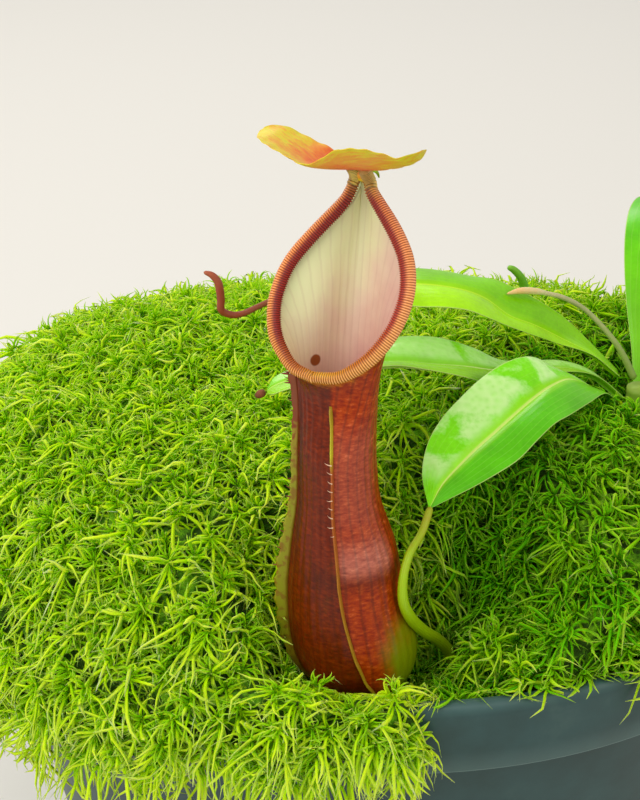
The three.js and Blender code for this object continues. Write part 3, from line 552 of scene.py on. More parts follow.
    # Branches on the roots: tight little ones in the head, long ones under it
    twist = add("EulerToRotation",
                add("RandomValue", "FLOAT_VECTOR", (0, 0, 0), (0, 0, FULL_TURN), Seed=seeds[5]))
    aimed = add("AlignRotationToVector", {"axis": "Z"}, twist, Vector=away_from_head)
    short = add("Math", "MULTIPLY_ADD", in_head, -0.52, 1.0)
    reach = add("Math", "MULTIPLY", add("Math", "MULTIPLY", given["Branch length"], short),
                add("RandomValue", "FLOAT", 0.6, 1.15, Seed=seeds[6]))
    slim = add("Math", "MULTIPLY_ADD", in_head, -0.35, 1.0)
    wide = add("Math", "MULTIPLY", given["Branch length"], slim)
    size = add("CombineXYZ", wide, wide, reach)
    pick = add("RandomValue", "INT", 0, 3, Seed=seed)
    branches = add("InstanceOnPoints", Points=stars, Instance=kinds, Pick_Instance=True,
                   Instance_Index=pick, Rotation=aimed, Scale=size)
    branches = add("RealizeInstances", branches)

    # Long branches arch over and droop, and every one strays in its own way towards its tip
    free_end = add("Math", "MULTIPLY", add("Math", "MULTIPLY", along, along),
                   add("Math", "MULTIPLY_ADD", in_head, -0.85, 1.0))
    fall = add("Math", "MULTIPLY", free_end, given["Droop"])
    fall = add("CombineXYZ", Z=add("Math", "MULTIPLY", fall, -1.0))
    drift = add("TexNoise", {"normalize": False}, Vector=position, Scale=1 / (9 * MM), Detail=0)
    amount = add("Math", "MULTIPLY", free_end, given["Curl"])
    stray = add("VectorMath", "SCALE", drift.outputs["Color"], amount)
    branches = add("SetPosition", branches, Offset=add("VectorMath", "ADD", fall, stray))

    # The map for the colours, then the finish
    # the light and shade painted for the plant's place, with a random tint of its own; head branches darker
    shade = add("Math", "ADD", tone, plant_tint)
    shade = add("Math", "MULTIPLY", shade, add("Math", "MULTIPLY_ADD", in_head, -0.64, 1.0))
    shade = add("Math", "MINIMUM", add("Math", "MAXIMUM", shade, 0.03), 0.93)
    pair = add("CombineXYZ", along, add("Math", "MULTIPLY_ADD", round_branch, 0.06, shade))
    branches = add("StoreNamedAttribute", {"data_type": "FLOAT2", "domain": "CORNER"}, branches,
                   Name="OFBake", Value=pair)
    branches = add("SetMaterial", add("SetShadeSmooth", branches), Material=given["Finish"])
    add("NodeGroupOutput", branches)
    return tree


def grown(host, tree, **values):
    """The plain mesh that a tree makes of its host, with its named inputs set."""
    grower = host.modifiers.new(tree.name, "NODES")
    grower.node_group = tree
    for socket in tree.interface.items_tree:
        key = socket.name.lower().replace(" ", "_")
        if socket.item_type == "SOCKET" and socket.in_out == "INPUT" and key in values:
            grower[socket.identifier] = values[key]
    return shaped(host)


def patchy(x, y, size, seed):
    """Smooth random patches of this size in millimetres, from 0 to 1, over arrays of places."""
    return np.array([0.5 + 0.6 * noise.noise(Vector((a / size, b / size, seed))) for a, b in zip(x, y)])


moss_top = add_object("moss_top", lumps.copy())
x, y, z = (co / MM).T
side_on = np.hypot(x, y)
# painted light and shade: high values for plants at the left and front, where the light falls, low ones at
# the right and further back, with random patches on top
light = 0.96 - 0.76 * smoothstep(x - 2 - 0.006 * (y + 70) ** 2, -8, 14)
light = light - 0.12 * smoothstep(y, -60, 60) + 0.5 * (patchy(x, y, 26, 3.1) - 0.5)
open_air = (normals[:, 2] > 0.05) & (z > POT_HEIGHT - 13.5) | (side_on > RIM_RADIUS - 3) & (
    normals[:, 2] > -0.8)
free = open_air * smoothstep(np.hypot(x + 9.5, y + 90), 12.5, 13.5) * smoothstep(
    np.hypot(x - CROWN[0], y - CROWN[1]), 5, 7)
set_values(moss_top, tone=np.clip(light, 0.05, 0.95), grow=free)
sphagnum = sphagnum_tree()
branches = grown(moss_top, sphagnum, seed=7, finish=live_moss)
# extra plants crowd the bank in front of the pitcher, and tall tufts lean out over the rim at its right
TUFTS = ((21, -102.5), (32.5, -99.5), (53, -90.5), (70, -78))
bank = smoothstep(-y, 99, 103) * smoothstep(x, -34, -26) * (1 - smoothstep(x, 6, 12))
set_values(moss_top, grow=free * bank)
bank_branches = grown(moss_top, sphagnum, plant_spacing=3.2 * MM, plant_height=7 * MM,
                      branch_length=9.5 * MM, seed=12, finish=live_moss)
tufts = sum(1 - smoothstep(np.hypot(x - a, y - b), 3.5, 5) for a, b in TUFTS)
set_values(moss_top, grow=open_air * tufts, tone=np.full(len(x), 0.62))
rim_branches = grown(moss_top, sphagnum, plant_spacing=2.6 * MM, plant_height=14 * MM, branch_length=10 * MM,
                     seed=5, finish=live_moss)
bpy.data.objects.remove(moss_top)

BRANCH_POINTS, BRANCH_FACES = 18, 17
# no branch strays further than this from the pot's axis
LONGEST_STRAY = 130.5 * MM
PITCHER_FOOT = (-8.5, -90)
# radius of the pitcher's wall by height, which the branches lean against
FOOT_PROFILE = ((113, 4), (115, 7), (118.2, 9.6), (124.4, 15.6), (130.6, 17.4), (142.7, 16.4), (155, 14))


def lean_off(co, middle, profile):
    """Pushes branch points out of a round body that stands in the moss."""
    heights, radii = np.array(profile).T
    across = co[..., :2] - np.array(middle) * MM
    distance = np.linalg.norm(across, axis=-1)
    body = np.interp(co[..., 2] / MM, heights, radii, left=0, right=0) * MM
    pushed = np.maximum(distance, body) / np.maximum(distance, 1e-6)
    co[..., :2] = np.array(middle) * MM + across * pushed[..., None]


def lay_over_rim(co):
    """Lifts branches that start inside the pot, ring by ring, so that they pass over its rim."""
    rings = co.reshape(len(co), -1, 3, 3)
    reach = np.linalg.norm(rings[..., :2], axis=-1).mean(axis=2)
    edge = inner_radius(POT_HEIGHT) * MM
    starts_inside = (reach[:, :1] < (RIM_RADIUS - 1) * MM) & (rings[:, :1, 0, 2] < (POT_HEIGHT + 10) * MM)
    short_by = np.maximum((POT_HEIGHT + 0.4) * MM - rings[..., 2].min(axis=2), 0)
    rings[..., 2] += (starts_inside * short_by * smoothstep(reach, edge - 4 * MM, edge - 0.6 * MM))[..., None]


def split_moss(name, mesh, wedges):
    """Cuts the branches into wedges of the cushion, one object each."""
    count = len(mesh.vertices) // BRANCH_POINTS
    co = np.empty(len(mesh.vertices) * 3, np.float32)
    mesh.vertices.foreach_get("co", co)
    co = co.reshape(count, BRANCH_POINTS, 3)
    uv = np.empty(len(mesh.loops) * 2, np.float32)
    mesh.uv_layers["OFBake"].data.foreach_get("uv", uv)
    uv = uv.reshape(count, -1, 2)
    corner = np.empty(len(mesh.loops), np.int32)
    mesh.loops.foreach_get("vertex_index", corner)
    corner = corner.reshape(count, -1) - np.arange(count)[:, None] * BRANCH_POINTS
    size = np.empty(len(mesh.polygons), np.int32)
    mesh.polygons.foreach_get("loop_total", size)
    size = size.reshape(count, BRANCH_FACES)
    lean_off(co, PITCHER_FOOT, FOOT_PROFILE)
    lay_over_rim(co)
    strays = np.linalg.norm(co[..., :2], axis=-1, keepdims=True)
    co[..., :2] *= np.minimum(1, LONGEST_STRAY / np.maximum(strays, 1e-6))
    root = co[:, 0]
    wedge = ((np.arctan2(root[:, 1], root[:, 0]) / (2 * math.pi) + 0.5) * wedges).astype(int) % wedges
    for k in range(wedges):
        mine = np.flatnonzero(wedge == k)
        part = bpy.data.meshes.new(f"{name}_{k + 1}")
        part.vertices.add(len(mine) * BRANCH_POINTS)
        part.vertices.foreach_set("co", co[mine].ravel())
        corners = (corner[mine] + np.arange(len(mine))[:, None] * BRANCH_POINTS).ravel()
        part.loops.add(len(corners))
        part.loops.foreach_set("vertex_index", corners.astype(np.int32))
        sizes = size[mine].ravel()
        part.polygons.add(len(sizes))
        part.polygons.foreach_set("loop_start", np.concatenate([[0], np.cumsum(sizes)[:-1]]).astype(np.int32))
        part.polygons.foreach_set("use_smooth", [True] * len(sizes))
        part.uv_layers.new(name="OFBake").data.foreach_set("uv", uv[mine].ravel())
        part.materials.append(live_moss)
        part.update()
        part.validate()
        finish(add_object(part.name, part), "live_moss")


split_moss("moss_plants", branches, wedges=13)
split_moss("bank_moss", bank_branches, wedges=1)
split_moss("rim_moss", rim_branches, wedges=1)


# Pitcher ------------------------------------------------------------------------------------------------
# The trap: a thin-walled hollow leaf, round and bulging at the foot, narrow at the waist and
# opening to a slanting oval mouth. Its front is a shallow panel between two wings.

FACING = math.radians(28)
MOUTH_SLOPE = math.radians(56)
FORWARD = np.array([-math.sin(FACING), -math.cos(FACING), 0])
RIGHT = np.array([math.cos(FACING), -math.sin(FACING), 0])
UP = np.array([0, 0, 1.0])
MOUTH_UP = -math.cos(MOUTH_SLOPE) * FORWARD + math.sin(MOUTH_SLOPE) * UP
MOUTH_NORMAL = math.sin(MOUTH_SLOPE) * FORWARD + math.cos(MOUTH_SLOPE) * UP
MOUTH_ORIGIN = np.array([-19.7, -100, 194])
CUP_WALL = 1
LIP_THICKNESS = 2
GAP = 0.4

# radius, x of the middle, height
CUP_DEPTH = -90
CUP_PROFILE = path_through([
    (1, -7.2, 115), (5.6, -7.4, 116), (8.9, -7.9, 118.2), (13.3, -9.1, 124.4), (14.4, -9.9, 130.6),
    (13.4, -11.8, 142.7), (11.9, -12.5, 154.8), (9.4, -13.6, 166.6), (8.8, -14, 177)])
# half width of the mouth, distance up its slope, and lean of its middle to the right
MOUTH_HALF = path_through([
    (0, 6.5, -1.5), (5.3, 7.6, -1.2), (8.6, 10, -1.1), (12, 14, -1), (14.4, 20, -0.6),
    (14.9, 24.5, -0.2), (14.6, 28.5, 0.1), (13.5, 32.2, 0.4), (11.5, 36.2, 0.6), (8.8, 40.1, 0.3),
    (6.4, 43.1, -0.2), (4.1, 46, -1), (2.5, 48.6, -2), (1.8, 50.6, -2.4), (0, 51.8, -2.6)])
MOUTH_STEPS = 800
MOUTH_TABLE = evenly(MOUTH_HALF, MOUTH_STEPS + 1)

# height above the ground, turn from the pitcher's front in degrees, and how far the wing stands out
RIGHT_WING = [
    (119.6, 49, 0.6), (126.6, 36, 1.0), (133, 30, 1.3), (140, 27, 1.4), (151, 22, 1.4), (167, 20, 1.3),
    (177, 21, 1.2), (185, 16, 1.1), (192, 10, 0.9)]
LEFT_WING = [
    (118, -50, 0.8), (124, -54, 1.4), (132, -56, 2.2), (142, -57, 2.9), (151, -57, 2.8), (160, -57, 2.1),
    (172, -58, 1.4), (189, -60, 1.2), (196, -62, 2.0)]


def mouth_point(turn, drop=0.0):
    """The mouth's middle line. turn runs from 0 at the lip's bottom over +-pi at the neck."""
    share = np.minimum(np.abs(turn) / math.pi, 1)
    shares = np.linspace(0, 1, MOUTH_STEPS + 1)
    half, up, lean = (np.interp(share, shares, column) for column in MOUTH_TABLE.T)
    return (MOUTH_ORIGIN + RIGHT * (lean + np.sign(turn) * half)[..., None]
            + MOUTH_UP * up[..., None] - MOUTH_NORMAL * np.asarray(drop)[..., None])


def outward_at(turn):
    """The level direction outwards at this turn from the pitcher's front."""
    return FORWARD * np.cos(turn)[..., None] + RIGHT * np.sin(turn)[..., None]


def wing_turn(stations, level):
    """Where a wing stands at this height, as a turn from the pitcher's front."""
    levels, turns, _ = zip(*stations)
    return np.radians(np.interp(level, levels, turns))


def plain_wall(height, turn):
    """The wall before its panel is pressed in: height 0 at the foot, 1 at the waist, 2 at the mouth."""
    radius, middle, level = np.moveaxis(CUP_PROFILE(np.minimum(height, 1)), -1, 0)
    foot = np.stack([middle, np.full_like(middle, CUP_DEPTH), level], -1)
    start = foot + outward_at(turn) * radius[..., None]
    behind = CUP_WALL * 1.2 * smoothstep(np.abs(turn), 1.2, 2.8)
    drop = LIP_THICKNESS / 2 + GAP + behind
    t = np.maximum(height - 1, 0)[..., None]
    nearby = [(turn + k * 0.24 + math.pi) % (2 * math.pi) - math.pi for k in range(-2, 3)]
    softened = sum(mouth_point(here, drop) for here in nearby) / 5
    end = softened + (mouth_point(turn, drop) - softened) * t ** 5
    reach = np.linalg.norm(end - start, axis=-1, keepdims=True)
    leave = UP - 0.02 * outward_at(turn)
    arrive = UP + (0.45 * smoothstep(math.pi - np.abs(turn), 0, 1.6))[..., None] * outward_at(turn)
    leave = leave / np.linalg.norm(leave, axis=-1, keepdims=True) * reach
    arrive = arrive / np.linalg.norm(arrive, axis=-1, keepdims=True) * reach
    high = (start * (2 * t ** 3 - 3 * t ** 2 + 1) + leave * (t ** 3 - 2 * t ** 2 + t)
            + end * (3 * t ** 2 - 2 * t ** 3) + arrive * (t ** 3 - t ** 2))
    return np.where(height[..., None] <= 1, start, high)


def wall_point(height, turn, inset=0.0):
    """Any point of the wall, moved inwards by inset, with the outward direction there."""
    height, turn = np.broadcast_arrays(np.asarray(height, float), np.asarray(turn, float))
    point = plain_wall(height, turn)
    step = 0.01
    upward = plain_wall(np.minimum(height + step, 2), turn) - plain_wall(np.maximum(height - step, 0), turn)
    around = plain_wall(height, turn + step) - plain_wall(height, turn - step)
    out = np.cross(around, upward)
    out /= np.maximum(np.linalg.norm(out, axis=-1, keepdims=True), 1e-9)
    return point - out * (np.asarray(inset)[..., None]), out


def between_wings(point_level, turn):
    """How far round the front panel a point is: 0 at the left wing, 1 at the right one."""
    left, right = wing_turn(LEFT_WING, point_level), wing_turn(RIGHT_WING, point_level)
    return (turn - left) / (right - left)


def pressed_in(height, turn, level):
    """Millimetres by which growth has hollowed and pleated the wall."""
    across = between_wings(level, turn)
    panel = np.where((across > 0) & (across < 1), np.sin(math.pi * np.clip(across, 0, 1)) ** 0.8, 0)
    ends = smoothstep(height, 0.25, 0.7) * (1 - smoothstep(height, 1.6, 1.9))
    pleats = 0.07 * (1 + np.sin(turn * 34 + 1.5 * np.sin(height * 7)))
    return 0.75 * panel * ends + pleats * smoothstep(height, 0.05, 0.3)


HEIGHTS = np.concatenate([np.linspace(0, 1, 74), np.linspace(1, 2, 74)[1:]])
TURNS = np.arange(176) * 2 * math.pi / 176 - math.pi
grid_height, grid_turn = np.meshgrid(HEIGHTS, TURNS, indexing="ij")
level = wall_point(grid_height, grid_turn)[0][..., 2]
dents = pressed_in(grid_height, grid_turn, level)
outside = wall_point(grid_height, grid_turn, dents)[0]
inner = (grid_height > 0.1)[:, 0]
inside = wall_point(grid_height, grid_turn, CUP_WALL + 0.4 * dents)[0][inner]

# Pitcher wall, grown: waxy and half glossy. Brown-red, darker in the front panel and brighter at its
# right, partly its own colour and partly painted shade on the panel and painted light at its right.
# It has darker long veins, fine cross wrinkles 0.7 mm apart, a yellow mottled band under the lip and
# unripe olive green low down at the right. A painted dark reflection runs round the waist, painted
# shade lies in a band beside the left wing, and a pale pink painted highlight lies at the right.
pitcher_wall, add, shader = add_material("waxy pitcher wall", 0.34)
feed(shader, Specular_IOR_Level=0.28)
position = add("TexCoord").outputs["Object"]
surface = add("SeparateXYZ", Vector=add("UVMap", {"uv_map": "surface"}))
panel, unripe, collar, dusk, sheen = (
    add("Attribute", {"attribute_name": name}).outputs["Fac"]
    for name in ("panel", "unripe", "collar", "dusk", "sheen"))
wrinkle_space = add("VectorMath", "MULTIPLY", position, (1, 1, 2.6))
wrinkles = add("TexNoise", Vector=wrinkle_space, Scale=1 / (1.8 * MM), Detail=4, Roughness=0.62)
mottle = add("TexNoise", Vector=position, Scale=1 / (5.5 * MM), Detail=4, Roughness=0.6)
strip = add("Math", "MULTIPLY_ADD", mottle, 0.012, surface.outputs["Y"])
veins = add("Math", "SINE", add("Math", "MULTIPLY", strip, 2 * math.pi * 26))
red = add("ValToRGB", Fac=wrinkles, stops=[(0.3, "#801c00"), (0.5, "#a03200"), (0.62, "#b44404"),
    (0.75, "#d8683c")])
brown = add("ValToRGB", Fac=wrinkles, stops=[(0.3, "#501400"), (0.5, "#6a1e00"), (0.7, "#842c00")])
# the front panel is browner partly in its own colour and partly as painted shade; the red at its right is
# partly painted light
skin_colour = add("Mix", "RGBA", panel, red, brown)
vein_share = add("MapRange", "SMOOTHSTEP", veins, 0.6, 1.0, 0.0, 0.36)
veined = add("Mix", "RGBA", vein_share, skin_colour, linear("#4c1602"))
# painted shade and painted dark reflection, from the dusk mask
dusky = add("Mix", "RGBA", dusk, veined, linear("#2c1408"))
# painted highlight: a pale pink sheen mixed into the colour
pink = add("Math", "MULTIPLY", sheen, wrinkles)
sheened = add("Mix", "RGBA", pink, dusky, linear("#f0b0a0"))
green_edge = add("Math", "MULTIPLY_ADD", mottle, 0.7, unripe)
greenness = add("MapRange", "SMOOTHSTEP", green_edge, 0.4, 1.3)
greened = add("Mix", "RGBA", greenness, sheened, linear("#7c8800"))
specks = add("Math", "MULTIPLY_ADD", wrinkles, 1.1, collar)
yellowness = add("MapRange", "SMOOTHSTEP", specks, 1.0, 1.6, 0.0, 0.75)
golden = add("Mix", "RGBA", yellowness, greened, linear("#d88a1c"))
relief = add("Bump", Height=wrinkles, Strength=0.2, Distance=0.3 * MM)
feed(shader, Base_Color=golden, Normal=relief)

# Inner wall, waxy zone: smooth cream, greenish at the upper left and pink at the lower right, with
# faint red veins, and one round brown spot where an insect has sucked.
BITE_PLACE = (-18.8, -82.8, 197.2)
BITE_RADIUS = 1.35
inner_wall, add, shader = add_material("waxy inner pitcher wall", 0.5)
position = add("TexCoord").outputs["Object"]
surface = add("SeparateXYZ", Vector=add("UVMap", {"uv_map": "surface"}))
flush = add("Attribute", {"attribute_name": "flush"}).outputs["Fac"]
cloud = add("TexNoise", Vector=position, Scale=1 / (7 * MM), Detail=3)
flushed = add("Math", "MULTIPLY_ADD", cloud, 0.35, flush)
cream = add("ValToRGB", Fac=flushed, stops=[(0.1, "#e4f4b4"), (0.4, "#eeeebc"), (0.7, "#e8ccb4"),
    (1.0, "#d49c94")])
bent = add("Math", "MULTIPLY_ADD", cloud, 0.02, surface.outputs["Y"])
lines = add("Math", "SINE", add("Math", "MULTIPLY", bent, 2 * math.pi * 30))
line_share = add("MapRange", "SMOOTHSTEP", lines, 0.6, 1.0, 0.0, 0.09)
lined = add("Mix", "RGBA", line_share, cream, linear("#9a5a58"))
from_spot = add("VectorMath", "DISTANCE", position, [c * MM for c in BITE_PLACE])
spot = add("MapRange", "SMOOTHSTEP", from_spot, BITE_RADIUS * 1.12 * MM, BITE_RADIUS * 0.85 * MM)
spotted = add("Mix", "RGBA", spot, lined, linear("#96501a"))
feed(shader, Base_Color=spotted)

cup = add_skin("pitcher_body", list(outside) + list(inside[::-1]), pitcher_wall,
               levels=np.concatenate([HEIGHTS / 2, HEIGHTS[inner][::-1] / 2]))
cup.data.materials.append(inner_wall)
outer_faces = (len(HEIGHTS) - 1) * len(TURNS)
kinds = np.ones(len(cup.data.polygons), np.int32)
kinds[:outer_faces] = 0
kinds[-2:] = (0, 1)
cup.data.polygons.foreach_set("material_index", kinds)

across = between_wings(level, grid_turn)
in_panel = smoothstep(across, -0.02, 0.0) * (1 - smoothstep(across, 0.99, 1.02))
left_edge = smoothstep(grid_turn, math.radians(-75), math.radians(-58))
turn_degrees = np.degrees(grid_turn)
right_side = smoothstep(across, 0.98, 1.06) * (1 - smoothstep(turn_degrees, 78, 100))
# painted dark reflection: a dark band round the waist
waist_dark_reflection = 0.42 * np.exp(-((level - 151.5) / 2.2) ** 2) * (0.35 + 0.65 * smoothstep(across, 0.3, 1.1))
# painted shade: a dark band beside the left wing
edge_dusk = 0.6 * smoothstep(level, 152, 162) * np.exp(-((turn_degrees + 46) / 7) ** 2) * (
    1 - smoothstep(level, 188, 195))
# painted highlights: a pale pink sheen at the waist and a weaker one up the neck, at the right
waist_sheen = 0.5 * smoothstep(level, 151, 155.5) * (1 - smoothstep(level, 156, 164))
neck_sheen = 0.16 * smoothstep(level, 160, 166) * (1 - smoothstep(level, 182, 192))
masks = {
    "panel": np.clip(in_panel + 0.55 * (1 - left_edge) * (turn_degrees < 0), 0, 1),
    "unripe": (1.0 * smoothstep(-level, -149, -128) * smoothstep(turn_degrees, 38, 82)
               + 0.5 * smoothstep(-level, -122, -116)),
    "collar": smoothstep(grid_height, 1.7, 1.98) * (1 - smoothstep(np.abs(grid_turn + 0.15), 0.7, 1.8)),
    "dusk": waist_dark_reflection + edge_dusk,
    "sheen": right_side * (waist_sheen + neck_sheen),
}
inner_point = wall_point(grid_height, grid_turn, CUP_WALL)[0]
sideways = (inner_point - MOUTH_ORIGIN) @ RIGHT
masks["flush"] = np.clip(0.42 + 0.03 * sideways - 0.016 * (inner_point[..., 2] - 215), 0, 1)
for name, values in masks.items():
    whole = np.concatenate([values.ravel(), values[inner][::-1].ravel()])
    set_values(cup, **{name: whole})
finish(cup, "pitcher_wall", "pitcher_cup")


# Wings --------------------------------------------------------------------------------------------------
# Two thin green ridges that run down the pitcher's front, one on its left edge and one down the
# middle. Stiff little hairs stand on their edges, and the left one ends in a spiky tip.

def on_wall(level, turn, stand_out):
    """The point of the wall at this height above the ground, moved outwards by stand_out."""
    heights = np.linspace(0, 2, 401)
    height = np.interp(level, wall_point(heights, turn)[0][:, 2], heights)
    return wall_point(height, turn, pressed_in(height, turn, level) - stand_out)[0]


def wing_lines(stations, rows):
    """The wing's foot on the wall, its edge, and the direction across it, row by row."""
    levels, turns, heights = zip(*stations)
    level = np.linspace(levels[0], levels[-1], rows)
    turn = np.radians(np.interp(level, levels, turns))
    height = np.interp(level, levels, heights) * (1 + 0.1 * np.sin(level * 1.3) + 0.06 * np.sin(level * 3.7))
    height[0] = height[-1] = 0.15
    foot = np.array([on_wall(a, b, -0.15) for a, b in zip(level, turn)])
    edge = np.array([on_wall(a, b, c) for a, b, c in zip(level, turn, height)])
    across = np.cross(edge - foot, np.gradient(foot, axis=0))
    return foot, edge, across / np.linalg.norm(across, axis=1, keepdims=True)


WING_SECTION = ((0.0, 0.42), (0.3, 0.28), (0.6, 0.2), (0.85, 0.15), (1.0, 0.05))


def add_wing(name, stations, material, rows=110):
    """A thin ridge that runs down the wall, thick at its foot and thin at its edge."""
    foot, edge, across = wing_lines(stations, rows)
    rings = []
    for a, b, side in zip(foot, edge, across):
        near = [a + (b - a) * share + side * half for share, half in WING_SECTION]
        rings.append(near + [a + (b - a) * share - side * half for share, half in reversed(WING_SECTION)])
    return add_skin(name, rings, material)


def fringe_tree():
    """Geometry nodes: curved tapering hairs along an edge, each standing out as the edge says."""
    tree, add, given = new_tree(
        "fringe hairs", "Hairs",
        ("Edge", "Geometry"), ("Spacing", "Float", 2.5 * MM), ("Hair length", "Float", 1.5 * MM),
        ("Hair radius", "Float", 0.16 * MM), ("Seed", "Int", 1), ("Finish", "Material"))
    edge = add("MeshToCurve", given["Edge"])
    feet = add("CurveToPoints", {"mode": "LENGTH"}, Curve=edge, Length=given["Spacing"])
    share = add("SplineParameter")
    line = add("CurveQuadraticBezier", Resolution=5, Start=(0, 0, -0.1), Middle=(0, 0.05, 0.6),
        End=(0.12, 0.4, 0.9))
    thin = add("Math", "SUBTRACT", 1.05, share)
    width = add("Math", "DIVIDE", given["Hair radius"], given["Hair length"])
    ring = add("CurvePrimitiveCircle", {"mode": "RADIUS"}, Resolution=5, Radius=width)
    hair = add("CurveToMesh", Curve=line, Profile_Curve=ring, Scale=thin, Fill_Caps=True)
    out = add("InputNamedAttribute", "FLOAT_VECTOR", "out")
    stray = add("RandomValue", "FLOAT_VECTOR", (-0.35, -0.35, -0.25), (0.35, 0.35, 0.5), Seed=given["Seed"])
    aim = add("VectorMath", "ADD", out, stray)
    turned_out = add("AlignRotationToVector", {"axis": "Z"}, Vector=aim)
    length = add("Math", "MULTIPLY", given["Hair length"],
        add("RandomValue", "FLOAT", 0.55, 1.15, Seed=given["Seed"]))
    hairs = add("InstanceOnPoints", Points=feet, Instance=hair, Rotation=turned_out, Scale=length)
    hairs = add("RealizeInstances", hairs)
    hairs = add("SetShadeSmooth", hairs)
    hairs = add("SetMaterial", hairs, Material=given["Finish"])
    add("NodeGroupOutput", hairs)
    return tree


def add_hairs(name, stations, low, high, tree, lean=0.0, **values):
    """Hairs on a wing's edge between two heights above the ground, leaning to the pitcher's left."""
    foot, edge, left = wing_lines(stations, 160)
    kept = (edge[:, 2] > low) & (edge[:, 2] < high)
    foot, edge, left = foot[kept], edge[kept], left[kept]
    host = add_mesh(name + "_edge", edge, [])
    host.data.edges.add(len(edge) - 1)
    pairs = [(i, i + 1) for i in range(len(edge) - 1)]
    host.data.edges.foreach_set("vertices", np.array(pairs, np.int32).ravel())
    out = (edge - foot) / np.linalg.norm(edge - foot, axis=1, keepdims=True) + left * lean
    host.data.attributes.new("out", "FLOAT_VECTOR", "POINT").data.foreach_set(
        "vector", out.astype(np.float32).ravel())
    hairs = add_object(name, grown(host, tree, **values))
    bpy.data.objects.remove(host)
    return hairs


# Wing tissue, grown: thin, olive yellow-green, flushed with brown-red towards the top and the foot.
wing_green, add, shader = add_material("thin wing tissue", 0.45)
surface = add("SeparateXYZ", Vector=add("UVMap", {"uv_map": "surface"}))
patches = add("TexNoise", Vector=add("TexCoord").outputs["Object"], Scale=1 / (1.6 * MM), Detail=4)
blush = add("Math", "MULTIPLY_ADD", patches, 0.25, surface.outputs["X"])
wing_tint = add("ValToRGB", Fac=blush, stops=[(0.15, "#a8781c"), (0.3, "#98980c"), (0.8, "#96980c"),
    (0.95, "#98841c"), (1.0, "#7c3c12")])
rim_share = add("Math", "ABSOLUTE", add("Math", "MULTIPLY_ADD", surface.outputs["Y"], 2.0, -1.0))
foot_red = add("MapRange", "SMOOTHSTEP", rim_share, 0.45, 0.95, 0.0, 0.75)
mottled = add("MapRange", "SMOOTHSTEP", patches, 0.47, 0.6, 0.0, 0.6)
freckled = add("Math", "MAXIMUM", foot_red, mottled)
rooted = add("Mix", "RGBA", freckled, wing_tint, linear("#843a0c"))
feed(shader, Base_Color=rooted)

# The middle wing's crest: brighter yellow at its top and along its edge.
crest_yellow, add, shader = add_material("thin wing crest", 0.45)
surface = add("SeparateXYZ", Vector=add("UVMap", {"uv_map": "surface"}))
crest_tint = add("ValToRGB", Fac=surface.outputs["X"],
    stops=[(0.0, "#a88c10"), (0.35, "#b07c14"), (0.6, "#b0601c"), (0.8, "#b45a20"), (0.86, "#c8c424"),
    (1.0, "#a88a1c")])
feed(shader, Base_Color=crest_tint)

# Hairs, grown: stiff and glassy, pale pink on the middle wing and dark red on the left one.
hair_pale, add, shader = add_material("stiff pale fringe hair", 0.35)
feed(shader, Base_Color=linear("#f0c8a8"))
hair_red, add, shader = add_material("stiff red fringe hair", 0.4)
feed(shader, Base_Color=linear("#7a2410"))

fringe = fringe_tree()
finish(add_wing("left_wing", LEFT_WING, wing_green), "pitcher_wing", "pitcher_left_wing")
finish(add_wing("middle_wing", RIGHT_WING, crest_yellow), "pitcher_wing", "pitcher_right_wing")
finish(add_hairs("left_wing_hairs", LEFT_WING, 150, 194, fringe, spacing=2.3 * MM, hair_length=1.2 * MM,
                 hair_radius=0.17 * MM, seed=4, finish=hair_red), "pitcher_wing")
finish(add_hairs("left_wing_spikes", LEFT_WING, 193, 196, fringe, spacing=1 * MM, hair_length=2 * MM,
                 hair_radius=0.28 * MM, seed=9, finish=hair_red), "pitcher_wing")
finish(add_hairs("middle_wing_hairs", RIGHT_WING, 163, 180, fringe, lean=0.9, spacing=2.1 * MM,
                 hair_length=1.6 * MM, hair_radius=0.16 * MM, seed=2, finish=hair_pale), "pitcher_wing")


# Lip ----------------------------------------------------------------------------------------------------
# The peristome: a hard rolled lip round the mouth, with some 215 fine ribs across it, 0.6 mm apart.
# The ribs end in a row of blunt teeth on its inner edge.

RIB_SPACING = 0.6
LIP_HALF_WIDTH = ((0, 1), (0.1, 1.15), (0.25, 1.5), (0.6, 1.6), (0.8, 1.5), (1, 1.1))


